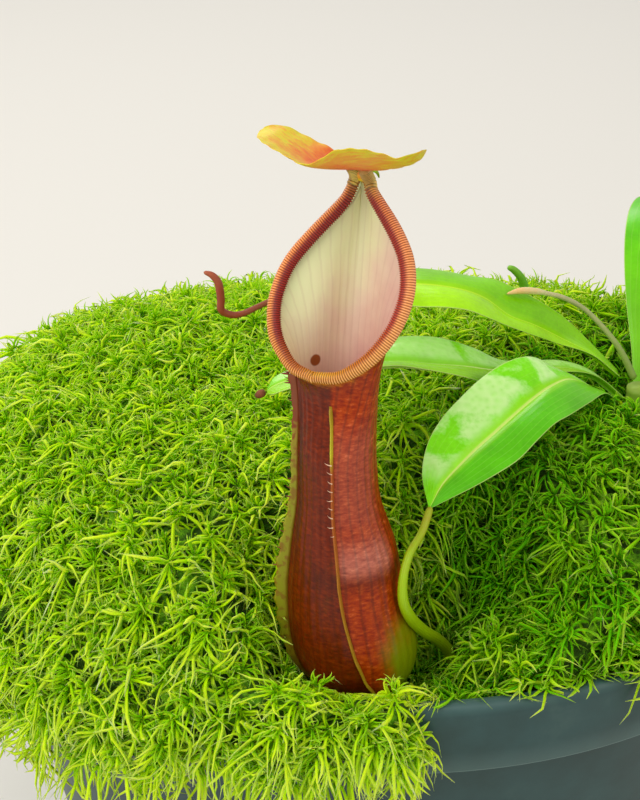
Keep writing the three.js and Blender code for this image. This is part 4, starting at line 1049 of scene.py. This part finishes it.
def lip_tree():
    """Geometry nodes: a ribbed roll round a mouth line. The line carries the roll's half width."""
    tree, add, given = new_tree(
        "ribbed lip", "Lip",
        ("Mouth", "Geometry"), ("Mouth normal", "Vector"), ("Ribs", "Int", 215),
        ("Rib height", "Float", 0.16 * MM), ("Tooth length", "Float", 0.35 * MM),
        ("Half thickness", "Float", 0.88 * MM), ("Finish", "Material"))

    line = add("MeshToCurve", given["Mouth"])
    columns = add("Math", "MULTIPLY_ADD", given["Ribs"], 6, 1)
    net = add("MeshGrid", 1.0, 1.0, Vertices_X=columns, Vertices_Y=23)
    kept = add("StoreNamedAttribute", {"data_type": "FLOAT2", "domain": "CORNER"}, net, Name="surface",
        Value=net.outputs["UV Map"])
    place = add("SeparateXYZ", add("InputPosition"))
    along_mouth = add("Math", "ADD", place.outputs["X"], 0.5)
    angle = add("Math", "MULTIPLY", add("Math", "ADD", place.outputs["Y"], 0.5), 2 * math.pi)
    half = add("InputNamedAttribute", "FLOAT", "half_width")
    sample = add("SampleCurve", {"mode": "FACTOR", "data_type": "FLOAT"}, Curves=line, Value=half,
        Factor=along_mouth)
    across = add("VectorMath", "CROSS_PRODUCT", sample.outputs["Tangent"], given["Mouth normal"])
    ridge = add("Math", "MULTIPLY_ADD", add("Math", "COSINE",
        add("Math", "MULTIPLY", add("Math", "MULTIPLY", along_mouth, given["Ribs"]), 2 * math.pi)), -0.5,
        0.5)
    ridge = add("Math", "POWER", ridge, 0.7)
    out, up = add("Math", "COSINE", angle), add("Math", "SINE", angle)
    upper = add("Math", "MINIMUM", add("Math", "MAXIMUM", add("Math", "MULTIPLY_ADD", up, 1.6, 0.5), 0.0),
        1.0)
    swell = add("Math", "MULTIPLY", add("Math", "MULTIPLY", ridge, upper), given["Rib height"])
    inward = add("Math", "POWER", add("Math", "MAXIMUM", add("Math", "MULTIPLY", out, -1.0), 0.0), 4.0)
    tooth = add("Math", "MULTIPLY", add("Math", "MULTIPLY", ridge, inward), given["Tooth length"])
    reach = add("Math", "ADD", add("Math", "ADD", sample.outputs["Value"], swell), tooth)
    curl = add("Math", "MULTIPLY", add("Math", "POWER", add("Math", "MAXIMUM", out, 0.0), 2.0), -0.3 * MM)
    rise = add("Math", "MULTIPLY_ADD", up, add("Math", "ADD", given["Half thickness"], swell), curl)
    outward = add("VectorMath", "SCALE", across, add("Math", "MULTIPLY", out, reach))
    upward = add("VectorMath", "SCALE", given["Mouth normal"], rise)
    shape = add("VectorMath", "ADD", outward, upward)
    point = add("VectorMath", "ADD", sample.outputs["Position"], shape)
    kept = add("StoreNamedAttribute", "FLOAT", kept, Name="ridge", Value=ridge)
    lip = add("SetPosition", kept, Position=point)
    lip = add("MergeByDistance", lip, Distance=0.002 * MM)
    lip = add("RealizeInstances", lip)
    lip = add("SetShadeSmooth", lip)
    lip = add("SetMaterial", lip, Material=given["Finish"])
    add("NodeGroupOutput", lip)
    return tree


# Peristome, grown: hard, wet and glossy. Orange outside and dark red inside, golden at the bottom
# of the mouth, yellow-green at the neck. Ribs are paler than the grooves between them, as painted
# light on the ribs and painted shade in the grooves, and the outer ribs carry a pale painted
# highlight on their crests.
lip_gloss, add, shader = add_material("glossy ribbed lip", 0.24, 1.5)
surface = add("SeparateXYZ", Vector=add("UVMap", {"uv_map": "surface"}))
outer = add("ValToRGB", Fac=surface.outputs["X"], stops=[(0.0, "#dcc84c"), (0.05, "#e87c24"),
    (0.25, "#ec7c14"), (0.4, "#dc7c10"), (0.5, "#cc7c14"), (0.6, "#dc8c28"), (0.75, "#f0904c"),
    (0.93, "#e8743c"), (1.0, "#dcc84c")])
inner_ramp = add("ValToRGB", Fac=surface.outputs["X"],
    stops=[(0.0, "#c09844"), (0.06, "#8a2010"), (0.36, "#8c1e0e"), (0.45, "#b8641a"), (0.5, "#dca030"),
    (0.57, "#c07020"), (0.68, "#a82c14"), (0.94, "#9c2414"), (1.0, "#c09844")])
section = add("Math", "COSINE", add("Math", "MULTIPLY", surface.outputs["Y"], 2 * math.pi))
inwardness = add("MapRange", "SMOOTHSTEP", section, 0.35, -0.45)
two_sided = add("Mix", "RGBA", inwardness, outer, inner_ramp)
ridge = add("Attribute", {"attribute_name": "ridge"}).outputs["Fac"]
# painted shade in the grooves and painted light on the ribs
groove = add("MapRange", ridge, 0.0, 1.0, 0.36, 1.25)
ribbed = add("VectorMath", "SCALE", two_sided, groove)
crest = add("MapRange", "SMOOTHSTEP", ridge, 0.72, 1.0, 0.0, 0.5)
# painted highlight on the crests of the outer ribs
rib_highlight = add("Math", "MULTIPLY_ADD", inwardness, -0.5, crest)
rib_highlight = add("Math", "MAXIMUM", rib_highlight, 0.0)
rib_highlighted = add("Mix", "RGBA", rib_highlight, ribbed, linear("#ffd89c"))
feed(shader, Base_Color=rib_highlighted)

turn = np.linspace(-math.pi, math.pi, MOUTH_STEPS + 1)
mouth_line = add_mesh("mouth_line", mouth_point(turn), [])
mouth_line.data.edges.add(MOUTH_STEPS)
pairs = [(i, i + 1) for i in range(MOUTH_STEPS)]
mouth_line.data.edges.foreach_set("vertices", np.array(pairs, np.int32).ravel())
widths = np.interp(np.abs(turn) / math.pi, *zip(*LIP_HALF_WIDTH)) * MM
set_values(mouth_line, half_width=widths)
lip = add_object("ribbed_lip", grown(mouth_line, lip_tree(), mouth_normal=tuple(MOUTH_NORMAL),
                                     finish=lip_gloss))
bpy.data.objects.remove(mouth_line)
turn_out(lip)
finish(lip, "peristome", "pitcher_peristome")


# Lid ----------------------------------------------------------------------------------------------------
# A thin stiff leaf held over the mouth on a short neck. Its left side droops to the front and its
# middle and right side rise, so that both of its faces show. A small spur stands behind its neck.

def add_tube(name, rows, material, count, sides, blunt=(True, True)):
    """A closed tube through rows x, y, z, radius in millimetres. A blunt end is rounded off."""
    line = evenly(path_through(rows), count)
    run = np.concatenate([[0], np.cumsum(np.linalg.norm(np.diff(line[:, :3], axis=0), axis=1))])
    for rounded, away in zip(blunt, (run, run[-1] - run)):
        if rounded:
            short = 1 - np.minimum(away / line[:, 3], 1)
            line[:, 3] *= np.sqrt(np.maximum(1 - short ** 2, 0.003))
    return add_skin(name, rings_along(line, sides), material, levels=run / run[-1])


LID_CENTRE = np.array([-13.3, -84.4, 0])
LID_HALF_WIDTH = 18.8
LID_HALF_LENGTH = 13
LID_THICKNESS = 0.7
# place across the lid, height of its middle, how steeply it rises to the front in degrees, and how
# far its front and back margins curl up
LID_WAVE = evenly(path_through([
    (-18.8, 248.2, -2, 0), (-15, 247.4, 11, 0.2), (-11, 245.3, 15, 1), (-8.5, 243.9, 16, 1.6),
    (-6, 242.8, 18, 1.5), (-3, 242.6, 19, 0.6), (0, 243.1, 21, 0.4), (5, 244.4, 28, 1.4),
    (10, 245.8, 28, 1.3), (14, 246.9, 24, 1), (16, 247.9, 17, 0.6), (18.8, 250.2, 10, 0)]), 200)
NECK = [(-8.4, -73.0, 235.9, 1.6), (-8.5, -74.4, 237.9, 1.8), (-8.8, -75.3, 239.1, 1.9),
    (-9.1, -76, 239.9, 1.9)]
SPUR = [(-6.8, -72.2, 237.4, 0.5), (-5.9, -70.2, 236.6, 0.45), (-5.2, -68.3, 235.2, 0.35),
        (-4.8, -67, 233.6, 0.15)]

# Lid tissue, grown: waxy yellow-green, flushed orange-red round the neck and streaked with pink
# lines that run across it, yellow along its margin.
lid_skin, add, shader = add_material("waxy lid tissue", 0.38)
position = add("TexCoord").outputs["Object"]
turned_place = add("VectorRotate", {"rotation_type": "Z_AXIS"}, Vector=position, Angle=FACING)
long_place = add("VectorMath", "MULTIPLY", turned_place, (0.3, 1.0, 1.0))
streaks = add("TexNoise", Vector=long_place, Scale=1 / (1.3 * MM), Detail=4, Roughness=0.65)
patches = add("TexNoise", Vector=position, Scale=1 / (6 * MM), Detail=3)
warm = add("Attribute", {"attribute_name": "warm"}).outputs["Fac"]
blush = add("Math", "MULTIPLY_ADD", streaks, 0.55, warm)
blush = add("Math", "MULTIPLY_ADD", patches, 0.3, blush)
lid_tint = add("ValToRGB", Fac=blush, stops=[(0.28, "#d4d01c"), (0.43, "#ecd428"), (0.54, "#f0a830"),
    (0.7, "#f07c28"), (0.86, "#e2501c"), (1.0, "#cc3808")])
folds = add("Bump", Height=streaks, Strength=0.5, Distance=0.5 * MM)
feed(shader, Base_Color=lid_tint, Normal=folds)

across, ahead = np.meshgrid(-0.998 * np.cos(np.linspace(0, math.pi, 90)), np.linspace(-1, 1, 25),
    indexing="ij")
ahead = np.sin(ahead * math.pi / 2)
place = across * LID_HALF_WIDTH
height, rise, curl = (np.interp(place, LID_WAVE[:, 0], LID_WAVE[:, k]) for k in (1, 2, 3))
oval = np.sqrt(1 - across ** 2)
reach = ahead * LID_HALF_LENGTH * oval * (1 + 0.025 * np.sin(9 * across + 2 * ahead))
rise = np.radians(rise)
level = height + curl * oval * ahead ** 2 + reach * np.sin(rise) + 0.12 * np.sin(place * 1.9) * np.abs(ahead)
top = LID_CENTRE + RIGHT * place[..., None] + FORWARD * (reach * np.cos(rise))[..., None]
top = top + UP * level[..., None]
depth = LID_THICKNESS * np.sqrt(np.maximum(1 - ahead ** 2, 0.08)) * (0.6 + 0.4 * oval)
under = top - UP * depth[..., None]
lid = add_skin("pitcher_lid_leaf", list(np.concatenate([top, under[:, ::-1]], axis=1)), lid_skin)
from_neck = np.linalg.norm(top - np.array(NECK[-1][:3]), axis=-1)
warmth = 0.62 * np.exp(-(from_neck / 8.5) ** 2) + 0.1 * (1 - ahead ** 2) * oval - 0.04
warmth = warmth + 0.22 * np.exp(-((place + 3) / 6) ** 2) * (1 - ahead ** 2)
set_values(lid, warm=np.concatenate([warmth, (warmth + 0.06)[:, ::-1]], axis=1))
finish(lid, "pitcher_lid", "pitcher_lid")
neck = add_tube("lid_neck", NECK, lid_skin, 20, 20)
set_values(neck, warm=np.repeat(np.linspace(-0.1, 0.3, 20), 20))
finish(neck, "pitcher_lid")
for side in (-1, 1):
    # the lip's two ends run on side by side up to the lid, with the same ribs
    feet = mouth_point(side * np.array([2.93, 3.02]))
    low, high = (np.array(NECK[k][:3]) + RIGHT * apart * side + FORWARD * 1.0
                 for k, apart in ((1, 1.45), (3, 1.5)))
    climb = [(*feet[0], 1.2), (*feet[1], 1.25), (*low, 1.3), (*high, 1.35)]
    line = evenly(path_through(climb), 90)
    run = np.linspace(0, 1, 90) * np.linalg.norm(np.diff(line[:, :3], axis=0), axis=1).sum()
    ridge = 0.5 - 0.5 * np.cos(run * 2 * math.pi / RIB_SPACING)
    line[:, 3] += 0.14 * ridge ** 0.7
    end = add_skin(f"lip_end_{'left' if side < 0 else 'right'}", rings_along(line, 18), lip_gloss,
                   levels=np.full(90, 0.002))
    set_values(end, ridge=np.repeat(ridge, 18))
    finish(end, "peristome")

# Green tissue of tendrils and shoots, grown: yellow-green, waxy, finely grooved along its length.
def tendril_material(name, *stops, roughness=0.42):
    """Stem tissue whose colour changes from its start to its end, over grooves 0.5 mm apart."""
    material, add, shader = add_material(name, roughness)
    surface = add("SeparateXYZ", Vector=add("UVMap", {"uv_map": "surface"}))
    place = add("TexCoord").outputs["Object"]
    flecks = add("TexNoise", Vector=place, Scale=1 / (1.6 * MM), Detail=4, Roughness=0.6)
    along = add("Math", "MULTIPLY_ADD", flecks, 0.3, surface.outputs["X"])
    along = add("Math", "DIVIDE", along, 1.3)
    tint = add("ValToRGB", Fac=along, stops=list(stops))
    grooves = add("Math", "SINE", add("Math", "MULTIPLY", surface.outputs["Y"], 2 * math.pi * 17))
    height = add("Math", "MULTIPLY_ADD", flecks, 1.2, grooves)
    relief = add("Bump", Height=height, Strength=0.25, Distance=0.12 * MM)
    feed(shader, Base_Color=tint, Normal=relief)
    return material


green_tendril = tendril_material("green tendril tissue", (0.0, "#b08c20"), (0.14, "#a8b414"),
    (0.3, "#a0c800"), (0.5, "#98b400"), (0.7, "#88980a"), (1.0, "#6a7810"))
finish(add_tube("lid_spur_thorn", SPUR, green_tendril, 24, 10, blunt=(False, True)), "tendril", "lid_spur")


# Leaves -------------------------------------------------------------------------------------------------
# Strap-shaped blades of the rosette, thick as card, each with a midrib sunk in its upper face and
# standing out below. Three are seen in front, and three reach away from the camera's side.

LEAF_CARD = 0.55
RIB_DEPTH = 1.0
# from the midrib, 0, to the margin, 1
HALF_STEPS = (0, 0.03, 0.07, 0.13, 0.22, 0.34, 0.46, 0.58, 0.7, 0.8, 0.89, 0.95, 0.985, 1)


def add_leaf(name, far, middle, near, material, rows=90):
    """A blade over its far margin, midrib and near margin, each a list of points from the tip on."""
    share = np.linspace(0, 1, rows)
    a, b, c = (path_through(line)(share) for line in (far, middle, near))
    across = c - a
    width = np.linalg.norm(across, axis=1)[:, None]
    lift = np.cross(across, np.gradient(b, axis=0))
    lift /= np.maximum(np.linalg.norm(lift, axis=1, keepdims=True), 1e-9)
    lift *= np.where(lift[:, 2:] < 0, -1, 1)
    sides = [-s for s in reversed(HALF_STEPS[1:])] + list(HALF_STEPS)
    top, under = [], []
    for side in sides:
        s = abs(side)
        margin, swing = (a, 3.1) if side < 0 else (c, 5.2)
        swell = 0.12 * width * s * (1 - s) + 0.012 * width * s ** 2 * np.sin(share * 17 + swing)[:, None]
        groove = 0.3 * math.exp(-(s / 0.07) ** 2) * np.minimum(width / 12, 1)
        face = b + (margin - b) * s + lift * (swell - groove)
        depth = LEAF_CARD * (1 - 0.7 * s ** 6) + RIB_DEPTH * math.exp(-(s / 0.08) ** 2) * np.minimum(
            width / 12, 1)
        top.append(face)
        under.append(face - lift * depth)
    rings = list(np.array(top + under[::-1]).transpose(1, 0, 2))
    spread = (np.array(sides) + 1) / 4
    rounds = np.concatenate([spread, 1 - spread[::-1], [1]])
    return add_skin(name, rings, material, levels=share, rounds=list(rounds))


def leaf_material(name, far_half, near_half, halo, rib, water, roughness=0.26):
    """A living leaf's skin, with painted light and shade on its far and near halves. water is how far its far
    half is wet and carries a painted reflection of the sky, 0 to 1.
    """
    material, add, shader = add_material(name, roughness, 1.48)
    feed(shader, Specular_IOR_Level=0.35)
    surface = add("SeparateXYZ", Vector=add("UVMap", {"uv_map": "surface"}))
    place = add("TexCoord").outputs["Object"]
    over_under = add("Math", "ABSOLUTE", add("Math", "MULTIPLY_ADD", surface.outputs["Y"], 2.0, -1.0))
    side = add("Math", "MULTIPLY", add("Math", "SUBTRACT", 1.0, over_under), 2.0)
    side = add("Math", "SUBTRACT", side, 1.0)
    out = add("Math", "ABSOLUTE", side)
    cloud = add("TexNoise", Vector=place, Scale=1 / (9 * MM), Detail=4, Roughness=0.55)
    pores = add("TexNoise", Vector=place, Scale=1 / (0.9 * MM), Detail=3)
    bent = add("Math", "MULTIPLY_ADD", cloud, 0.08, out)
    veins = add("Math", "SINE", add("Math", "MULTIPLY", bent, 2 * math.pi * 6))
    # painted light and shade: the far and near halves get their own greens, by how each half meets the light
    near_side = add("MapRange", "SMOOTHSTEP", side, -0.04, 0.04)
    half = add("Mix", "RGBA", near_side, linear(far_half), linear(near_half))
    shade = add("Math", "MULTIPLY_ADD", cloud, 0.7, add("Math", "MULTIPLY_ADD", pores, 0.25, 0.56))
    skin = add("VectorMath", "SCALE", half, shade)
    youth = add("Math", "MULTIPLY_ADD", cloud, 0.2, surface.outputs["X"])
    # what a layer of colour follows, where it starts and is full, how strong it gets, and its colour
    for guide, start, full, most, colour in (
            (youth, 0.6, 1.1, 0.35, "#a4cc28"), (veins, 0.82, 1.0, 0.07, rib), (out, 0.28, 0.0, 0.5, halo),
            (out, 0.05, 0.015, 0.9, rib), (out, 0.97, 0.995, 0.7, "#c4d878")):
        share = add("MapRange", "SMOOTHSTEP", guide, start, full, 0.0, most)
        skin = add("Mix", "RGBA", share, skin, linear(colour))
    drops = add("TexVoronoi", {"feature": "SMOOTH_F1"}, Vector=place, Scale=1 / (1.5 * MM), Randomness=1.0)
    pools = add("TexNoise", Vector=place, Scale=1 / (13 * MM), Detail=5, Roughness=0.42, Distortion=0.6)
    ragged = add("Math", "MULTIPLY_ADD", pores, 0.12, pools)
    pooled = add("MapRange", "SMOOTHSTEP", ragged, 0.42, 0.56)
    wet = add("Math", "MULTIPLY", pooled, add("MapRange", "SMOOTHSTEP", side, -0.06, -0.3, 0.0, water))
    wet = add("Math", "MULTIPLY", wet, add("MapRange", "SMOOTHSTEP", surface.outputs["X"], 0.06, 0.16))
    # painted reflection: where water lies, the colour is mixed towards a pale mint reflection of the sky
    sky_reflection = add("Math", "MULTIPLY", wet, add("Math", "MULTIPLY_ADD", drops, 0.55, 0.56))
    sky_reflected = add("Mix", "RGBA", sky_reflection, skin, linear("#d4ffa4"))
    fine = add("Math", "MULTIPLY_ADD", veins, 0.05, add("Math", "MULTIPLY", pores, 0.12))
    height = add("Math", "ADD", add("Math", "MULTIPLY", drops, wet), fine)
    relief = add("Bump", Height=height, Strength=0.5, Distance=0.4 * MM)
    sleek = add("Math", "MULTIPLY_ADD", wet, -0.12, roughness)
    feed(shader, Base_Color=sky_reflected, Normal=relief, Roughness=sleek)
    return material


FRONT_LEAF = (
    [(6.7, -84.1, 161), (5.5, -77, 165.5), (7, -70, 169.8), (10.2, -64, 172.6), (14.6, -58.5, 175.2),
     (19.9, -53, 177.9), (26.1, -47, 179.1), (32.3, -41, 177.5), (39.4, -34, 171.2), (46.3, -28, 164.8),
     (52.9, -22, 156.6), (59, -15.6, 147.1)],
    [(7.1, -84.2, 160.9), (9.9, -80, 164.3), (14.2, -75, 166.8), (18.5, -70, 168.7), (22.9, -65, 170.2),
     (27.3, -60, 171.8), (32, -54, 172.9), (36.7, -48, 173.3), (42.2, -40, 171.4), (48.5, -31.5, 164.6),
     (54.5, -23.5, 156), (60.9, -17.4, 146.5)],
    [(7.5, -84.3, 160.9), (11, -82.5, 161.8), (17.2, -79.5, 163.5), (23.2, -76, 165.5), (28, -72, 166.9),
     (32.4, -67.5, 169.2), (36.8, -61.5, 170.2), (40.9, -55.5, 169.5), (46.6, -46, 168), (52, -35, 164.8),
     (56.9, -26, 156.6), (63, -18.6, 147.1)])
UPPER_LEAF = (
    [(-26.2, -33.6, 191.2), (-15.3, -26, 193.3), (-5.6, -21.5, 192.1), (6.2, -18.5, 190.5),
     (13.2, -16.5, 189), (19.7, -15, 187.3), (25.2, -14, 185.8), (31.3, -13, 182.3), (37.1, -11, 178.4),
     (44.7, -8, 171.8), (51.5, -8.2, 164.8), (57.8, -7.8, 157.9)],
    [(-26.3, -34.1, 191.1), (-15.3, -32, 192.8), (-5.7, -30, 192.4), (5.9, -28, 191), (11.7, -26.5, 189.8),
     (17.9, -25, 187.8), (22.7, -23.5, 185), (28.9, -21, 179.2), (35.6, -17, 174.7), (44, -12, 168.1),
     (51.2, -10.6, 163.5), (58, -9.8, 157.3)],
    [(-26.2, -34.6, 191.2), (-15.3, -38, 192.9), (-5.9, -38.5, 191.3), (4.8, -37.5, 189.3),
     (11.3, -36.5, 188.8), (17.1, -35, 187.1), (21.9, -33, 184.3), (26.8, -29, 180.6), (33.6, -23, 175.3),
     (41.6, -15.8, 169), (50.9, -13, 164.4), (58.2, -11.8, 157.9)])
MIDDLE_LEAF = ([(-29.7, -64.2, 181), (-28.2, -60.6, 182), (-25.5, -58.2, 182.4), (-21, -55.5, 182.6),
    (-14.2, -50.5, 183.5), (0.9, -43.5, 184.3), (9.9, -39.5, 182.1), (18.8, -36, 177.5), (26, -33, 172.9),
    (42.2, -21, 166.9), (50, -16, 161.8), (57.3, -13.4, 154.4)],
    [(-29.8, -65, 180.7), (-28.6, -64, 181.3), (-25.8, -63, 182.2), (-21.5, -61.5, 182.8),
    (-14.2, -59, 183.5), (-0.5, -54, 182.8), (8.1, -50, 180.1), (17.1, -45, 177.1), (24.4, -40, 173.8),
    (43.2, -23.3, 166), (50.9, -17.9, 161), (58, -15.3, 153.9)],
    [(-29.8, -65.8, 180.4), (-28.5, -67.2, 180.9), (-25.8, -67.4, 181.9), (-21.2, -67.2, 183.4),
    (-14.3, -66, 185.4), (-1.7, -63, 186), (6.5, -59, 183), (15.7, -53, 178.4), (23.3, -46, 173.2),
    (44.6, -25.8, 166.2), (52, -19.9, 161.6), (59, -17, 154.4)])


def arched_leaf(direction, length, half_width, foot, rise, droop):
    """The margins and midrib of a leaf that rises, arches and droops, from its tip on."""
    ahead = np.array([math.cos(math.radians(direction)), math.sin(math.radians(direction)), 0])
    side = np.array([-ahead[1], ahead[0], 0])
    start = np.array([*CROWN, foot]) + 5.2 * ahead
    lines = ([], [], [])
    for s in np.linspace(1, 0, 11):
        width = max(half_width * math.sin(math.pi * s ** 1.1) ** 0.75 if s < 1 else 0,
            0.12 if s > 0.5 else 1.7)
        height = rise * math.sin(math.pi * min(s * 0.8, 0.5)) - droop * max(s - 0.45, 0) ** 2
        spine = start + ahead * length * s + UP * height
        edge = UP * 0.3 * width * (1 - s)
        for line, offset in zip(lines, (side * width + edge, 0 * side, edge - side * width)):
            line.append(tuple(spine + offset))
    return lines


ARCHED_LEAVES = {
    "right": arched_leaf(-14, 92, 13, 146, 26, 70),
    "back": arched_leaf(74, 96, 13, 150, 30, 60),
    "low": arched_leaf(-66, 78, 11, 143, 30, 45),
}

# Living leaf, grown and glossy: fresh green with a yellow midrib sunk in it, pale veins along it and
# a thin pale margin. The far and near halves of a blade are different greens, painted light and
# shade. Water lies on the front leaf's far half in patches, and less on the middle leaf's, with a
# painted pale reflection of the sky in it.
wet_leaf = leaf_material("wet glossy leaf", "#80e800", "#5cc400", "#b8f418", "#dcf87c", 1.0)
fresh_leaf = leaf_material("glossy fresh leaf", "#5cc400", "#56bc00", "#98dc18", "#d8ec78", 0.0)
yellow_leaf = leaf_material("glossy yellow-green leaf", "#84d400", "#acf000", "#b4f000", "#c8f430", 0.0)
cool_leaf = leaf_material("glossy cool green leaf", "#80dc10", "#90d400", "#a8e040", "#ecfc9c", 0.6)
finish(add_leaf("front_leaf_blade", *FRONT_LEAF, wet_leaf), "leaf_blade", "front_leaf")
finish(add_leaf("upper_leaf_blade", *UPPER_LEAF, yellow_leaf), "leaf_blade", "upper_leaf")
finish(add_leaf("middle_leaf_blade", *MIDDLE_LEAF, cool_leaf), "leaf_blade", "middle_leaf")
for leaf_name, lines in ARCHED_LEAVES.items():
    finish(add_leaf(leaf_name + "_leaf_blade", *lines, fresh_leaf), "leaf_blade", leaf_name + "_leaf")


# Tendrils -----------------------------------------------------------------------------------------------
# Each leaf's midrib goes on as a round cord. The front one curls down into the moss and carries the
# pitcher, the upper one is red-brown with an unopened bud, and the others hang with small buds.

FRONT_TENDRIL = [(7.3, -83.9, 161, 0.6), (6.8, -84.9, 160, 0.85), (5.2, -88.4, 156.9, 0.9),
    (2.1, -94.2, 154.2, 0.95), (0.8, -97.1, 149.8, 1.05), (0.9, -97.9, 144.6, 1.2),
    (2.4, -96.4, 139.8, 1.35), (5.8, -90.5, 132.2, 1.4), (9.4, -85.2, 126.4, 1.4), (12.4, -81, 120, 1.4),
    (11.6, -79.5, 113.4, 1.4), (6.8, -81.5, 110.3, 1.4), (1, -85, 109.9, 1.4), (-4, -88.4, 111.4, 1.3),
    (-6.4, -89.6, 113.4, 1.2)]
UPPER_TENDRIL = [(-27.3, -34.9, 190.6, 0.75), (-30.5, -36.4, 189.6, 0.7), (-33.1, -38, 189, 0.7),
    (-35.9, -40, 188.5, 0.75), (-38.5, -41, 188.6, 0.85), (-40.9, -42, 190.3, 0.9), (-41, -42, 193.2, 0.95),
    (-41.6, -42, 197.5, 0.95), (-43, -42, 199.3, 0.8), (-44.9, -42, 200.1, 0.4)]


def hanging_tendril(midrib):
    """A cord with a small upturned bud, from the tip of an arched leaf."""
    tip, inner = np.array(midrib[0]), np.array(midrib[1])
    ahead = (tip - inner) * (1, 1, 0)
    ahead /= np.linalg.norm(ahead)
    return [(*(tip + ahead * forward - UP * down), radius) for forward, down, radius in (
        (0.5, 0.9, 0.8), (7, 7, 0.8), (11, 17, 0.85), (11.5, 27, 0.9), (14, 32.5, 1.1), (18, 32, 1.5),
        (20.5, 27, 1.6), (21.5, 21.5, 0.6))]


red_tendril = tendril_material("red-brown tendril tissue", (0.0, "#7a4a1c"), (0.3, "#8e4420"),
    (0.7, "#9a3c22"), (1.0, "#b86844"))
finish(add_tube("front_tendril_cord", FRONT_TENDRIL, green_tendril, 150, 18), "tendril", "front_tendril")
finish(add_tube("upper_tendril_cord", UPPER_TENDRIL, red_tendril, 110, 14), "dry_tendril", "upper_tendril")
for leaf_name, lines in ARCHED_LEAVES.items():
    cord = add_tube(leaf_name + "_tendril_cord", hanging_tendril(lines[1]), green_tendril, 90, 14)
    finish(cord, "tendril", leaf_name + "_tendril")


# Dry tip, new leaf and shoot -------------------------------------------------------------------------------
# The middle leaf's tendril has dried off to a brown stub. The next leaf is still rolled into a point
# on its pale stalk, and a young hooked shoot stands behind the upper leaf.

DRY_TIP = [(-30.1, -65.2, 180.5, 0.8), (-31.3, -65.5, 180.1, 0.95), (-32, -65.7, 179.8, 0.8),
           (-32.6, -65.8, 179.6, 0.4)]
NEW_LEAF = [(62, -11.4, 156.8, 1), (57.5, -9, 165, 0.8), (50, -5, 172.6, 0.65), (44, -7.4, 177.4, 0.65),
    (38.5, -11.5, 180.8, 0.6), (35.5, -14, 182.5, 0.85), (31.5, -16.5, 183.7, 0.8),
    (28.2, -18, 183.6, 0.25)]
CURLED_SHOOT = [(36.4, 6, 152, 1), (35.2, 5, 160, 1.05), (34.5, 4, 167.8, 1.1), (34.6, 4, 174.6, 1.15),
                (33.4, 3.6, 178.4, 1.05), (31.4, 2.8, 180.9, 0.9), (29.9, 2, 181.9, 0.6)]

dead_tissue = tendril_material("dried leaf tissue", (0.0, "#6a4420"), (0.5, "#8a4c28"), (1.0, "#4a2a14"),
    roughness=0.7)
bud_tissue = tendril_material("rolled young leaf", (0.0, "#7c9c2c"), (0.35, "#a0ac64"), (0.6, "#c8c090"),
                              (0.72, "#f0e0a8"), (0.88, "#f4c478"), (1.0, "#e87830"))
shoot_tissue = tendril_material("young shoot tissue", (0.0, "#489c08"), (0.6, "#5cac10"), (1.0, "#8cc830"))
finish(add_tube("dry_stub", DRY_TIP, dead_tissue, 40, 12), "dry_tip", "middle_leaf_dry_tip")
finish(add_tube("rolled_leaf", NEW_LEAF, bud_tissue, 110, 16), "new_leaf", "new_leaf")
finish(add_tube("hooked_shoot", CURLED_SHOOT, shoot_tissue, 90, 16), "shoot", "curled_shoot")
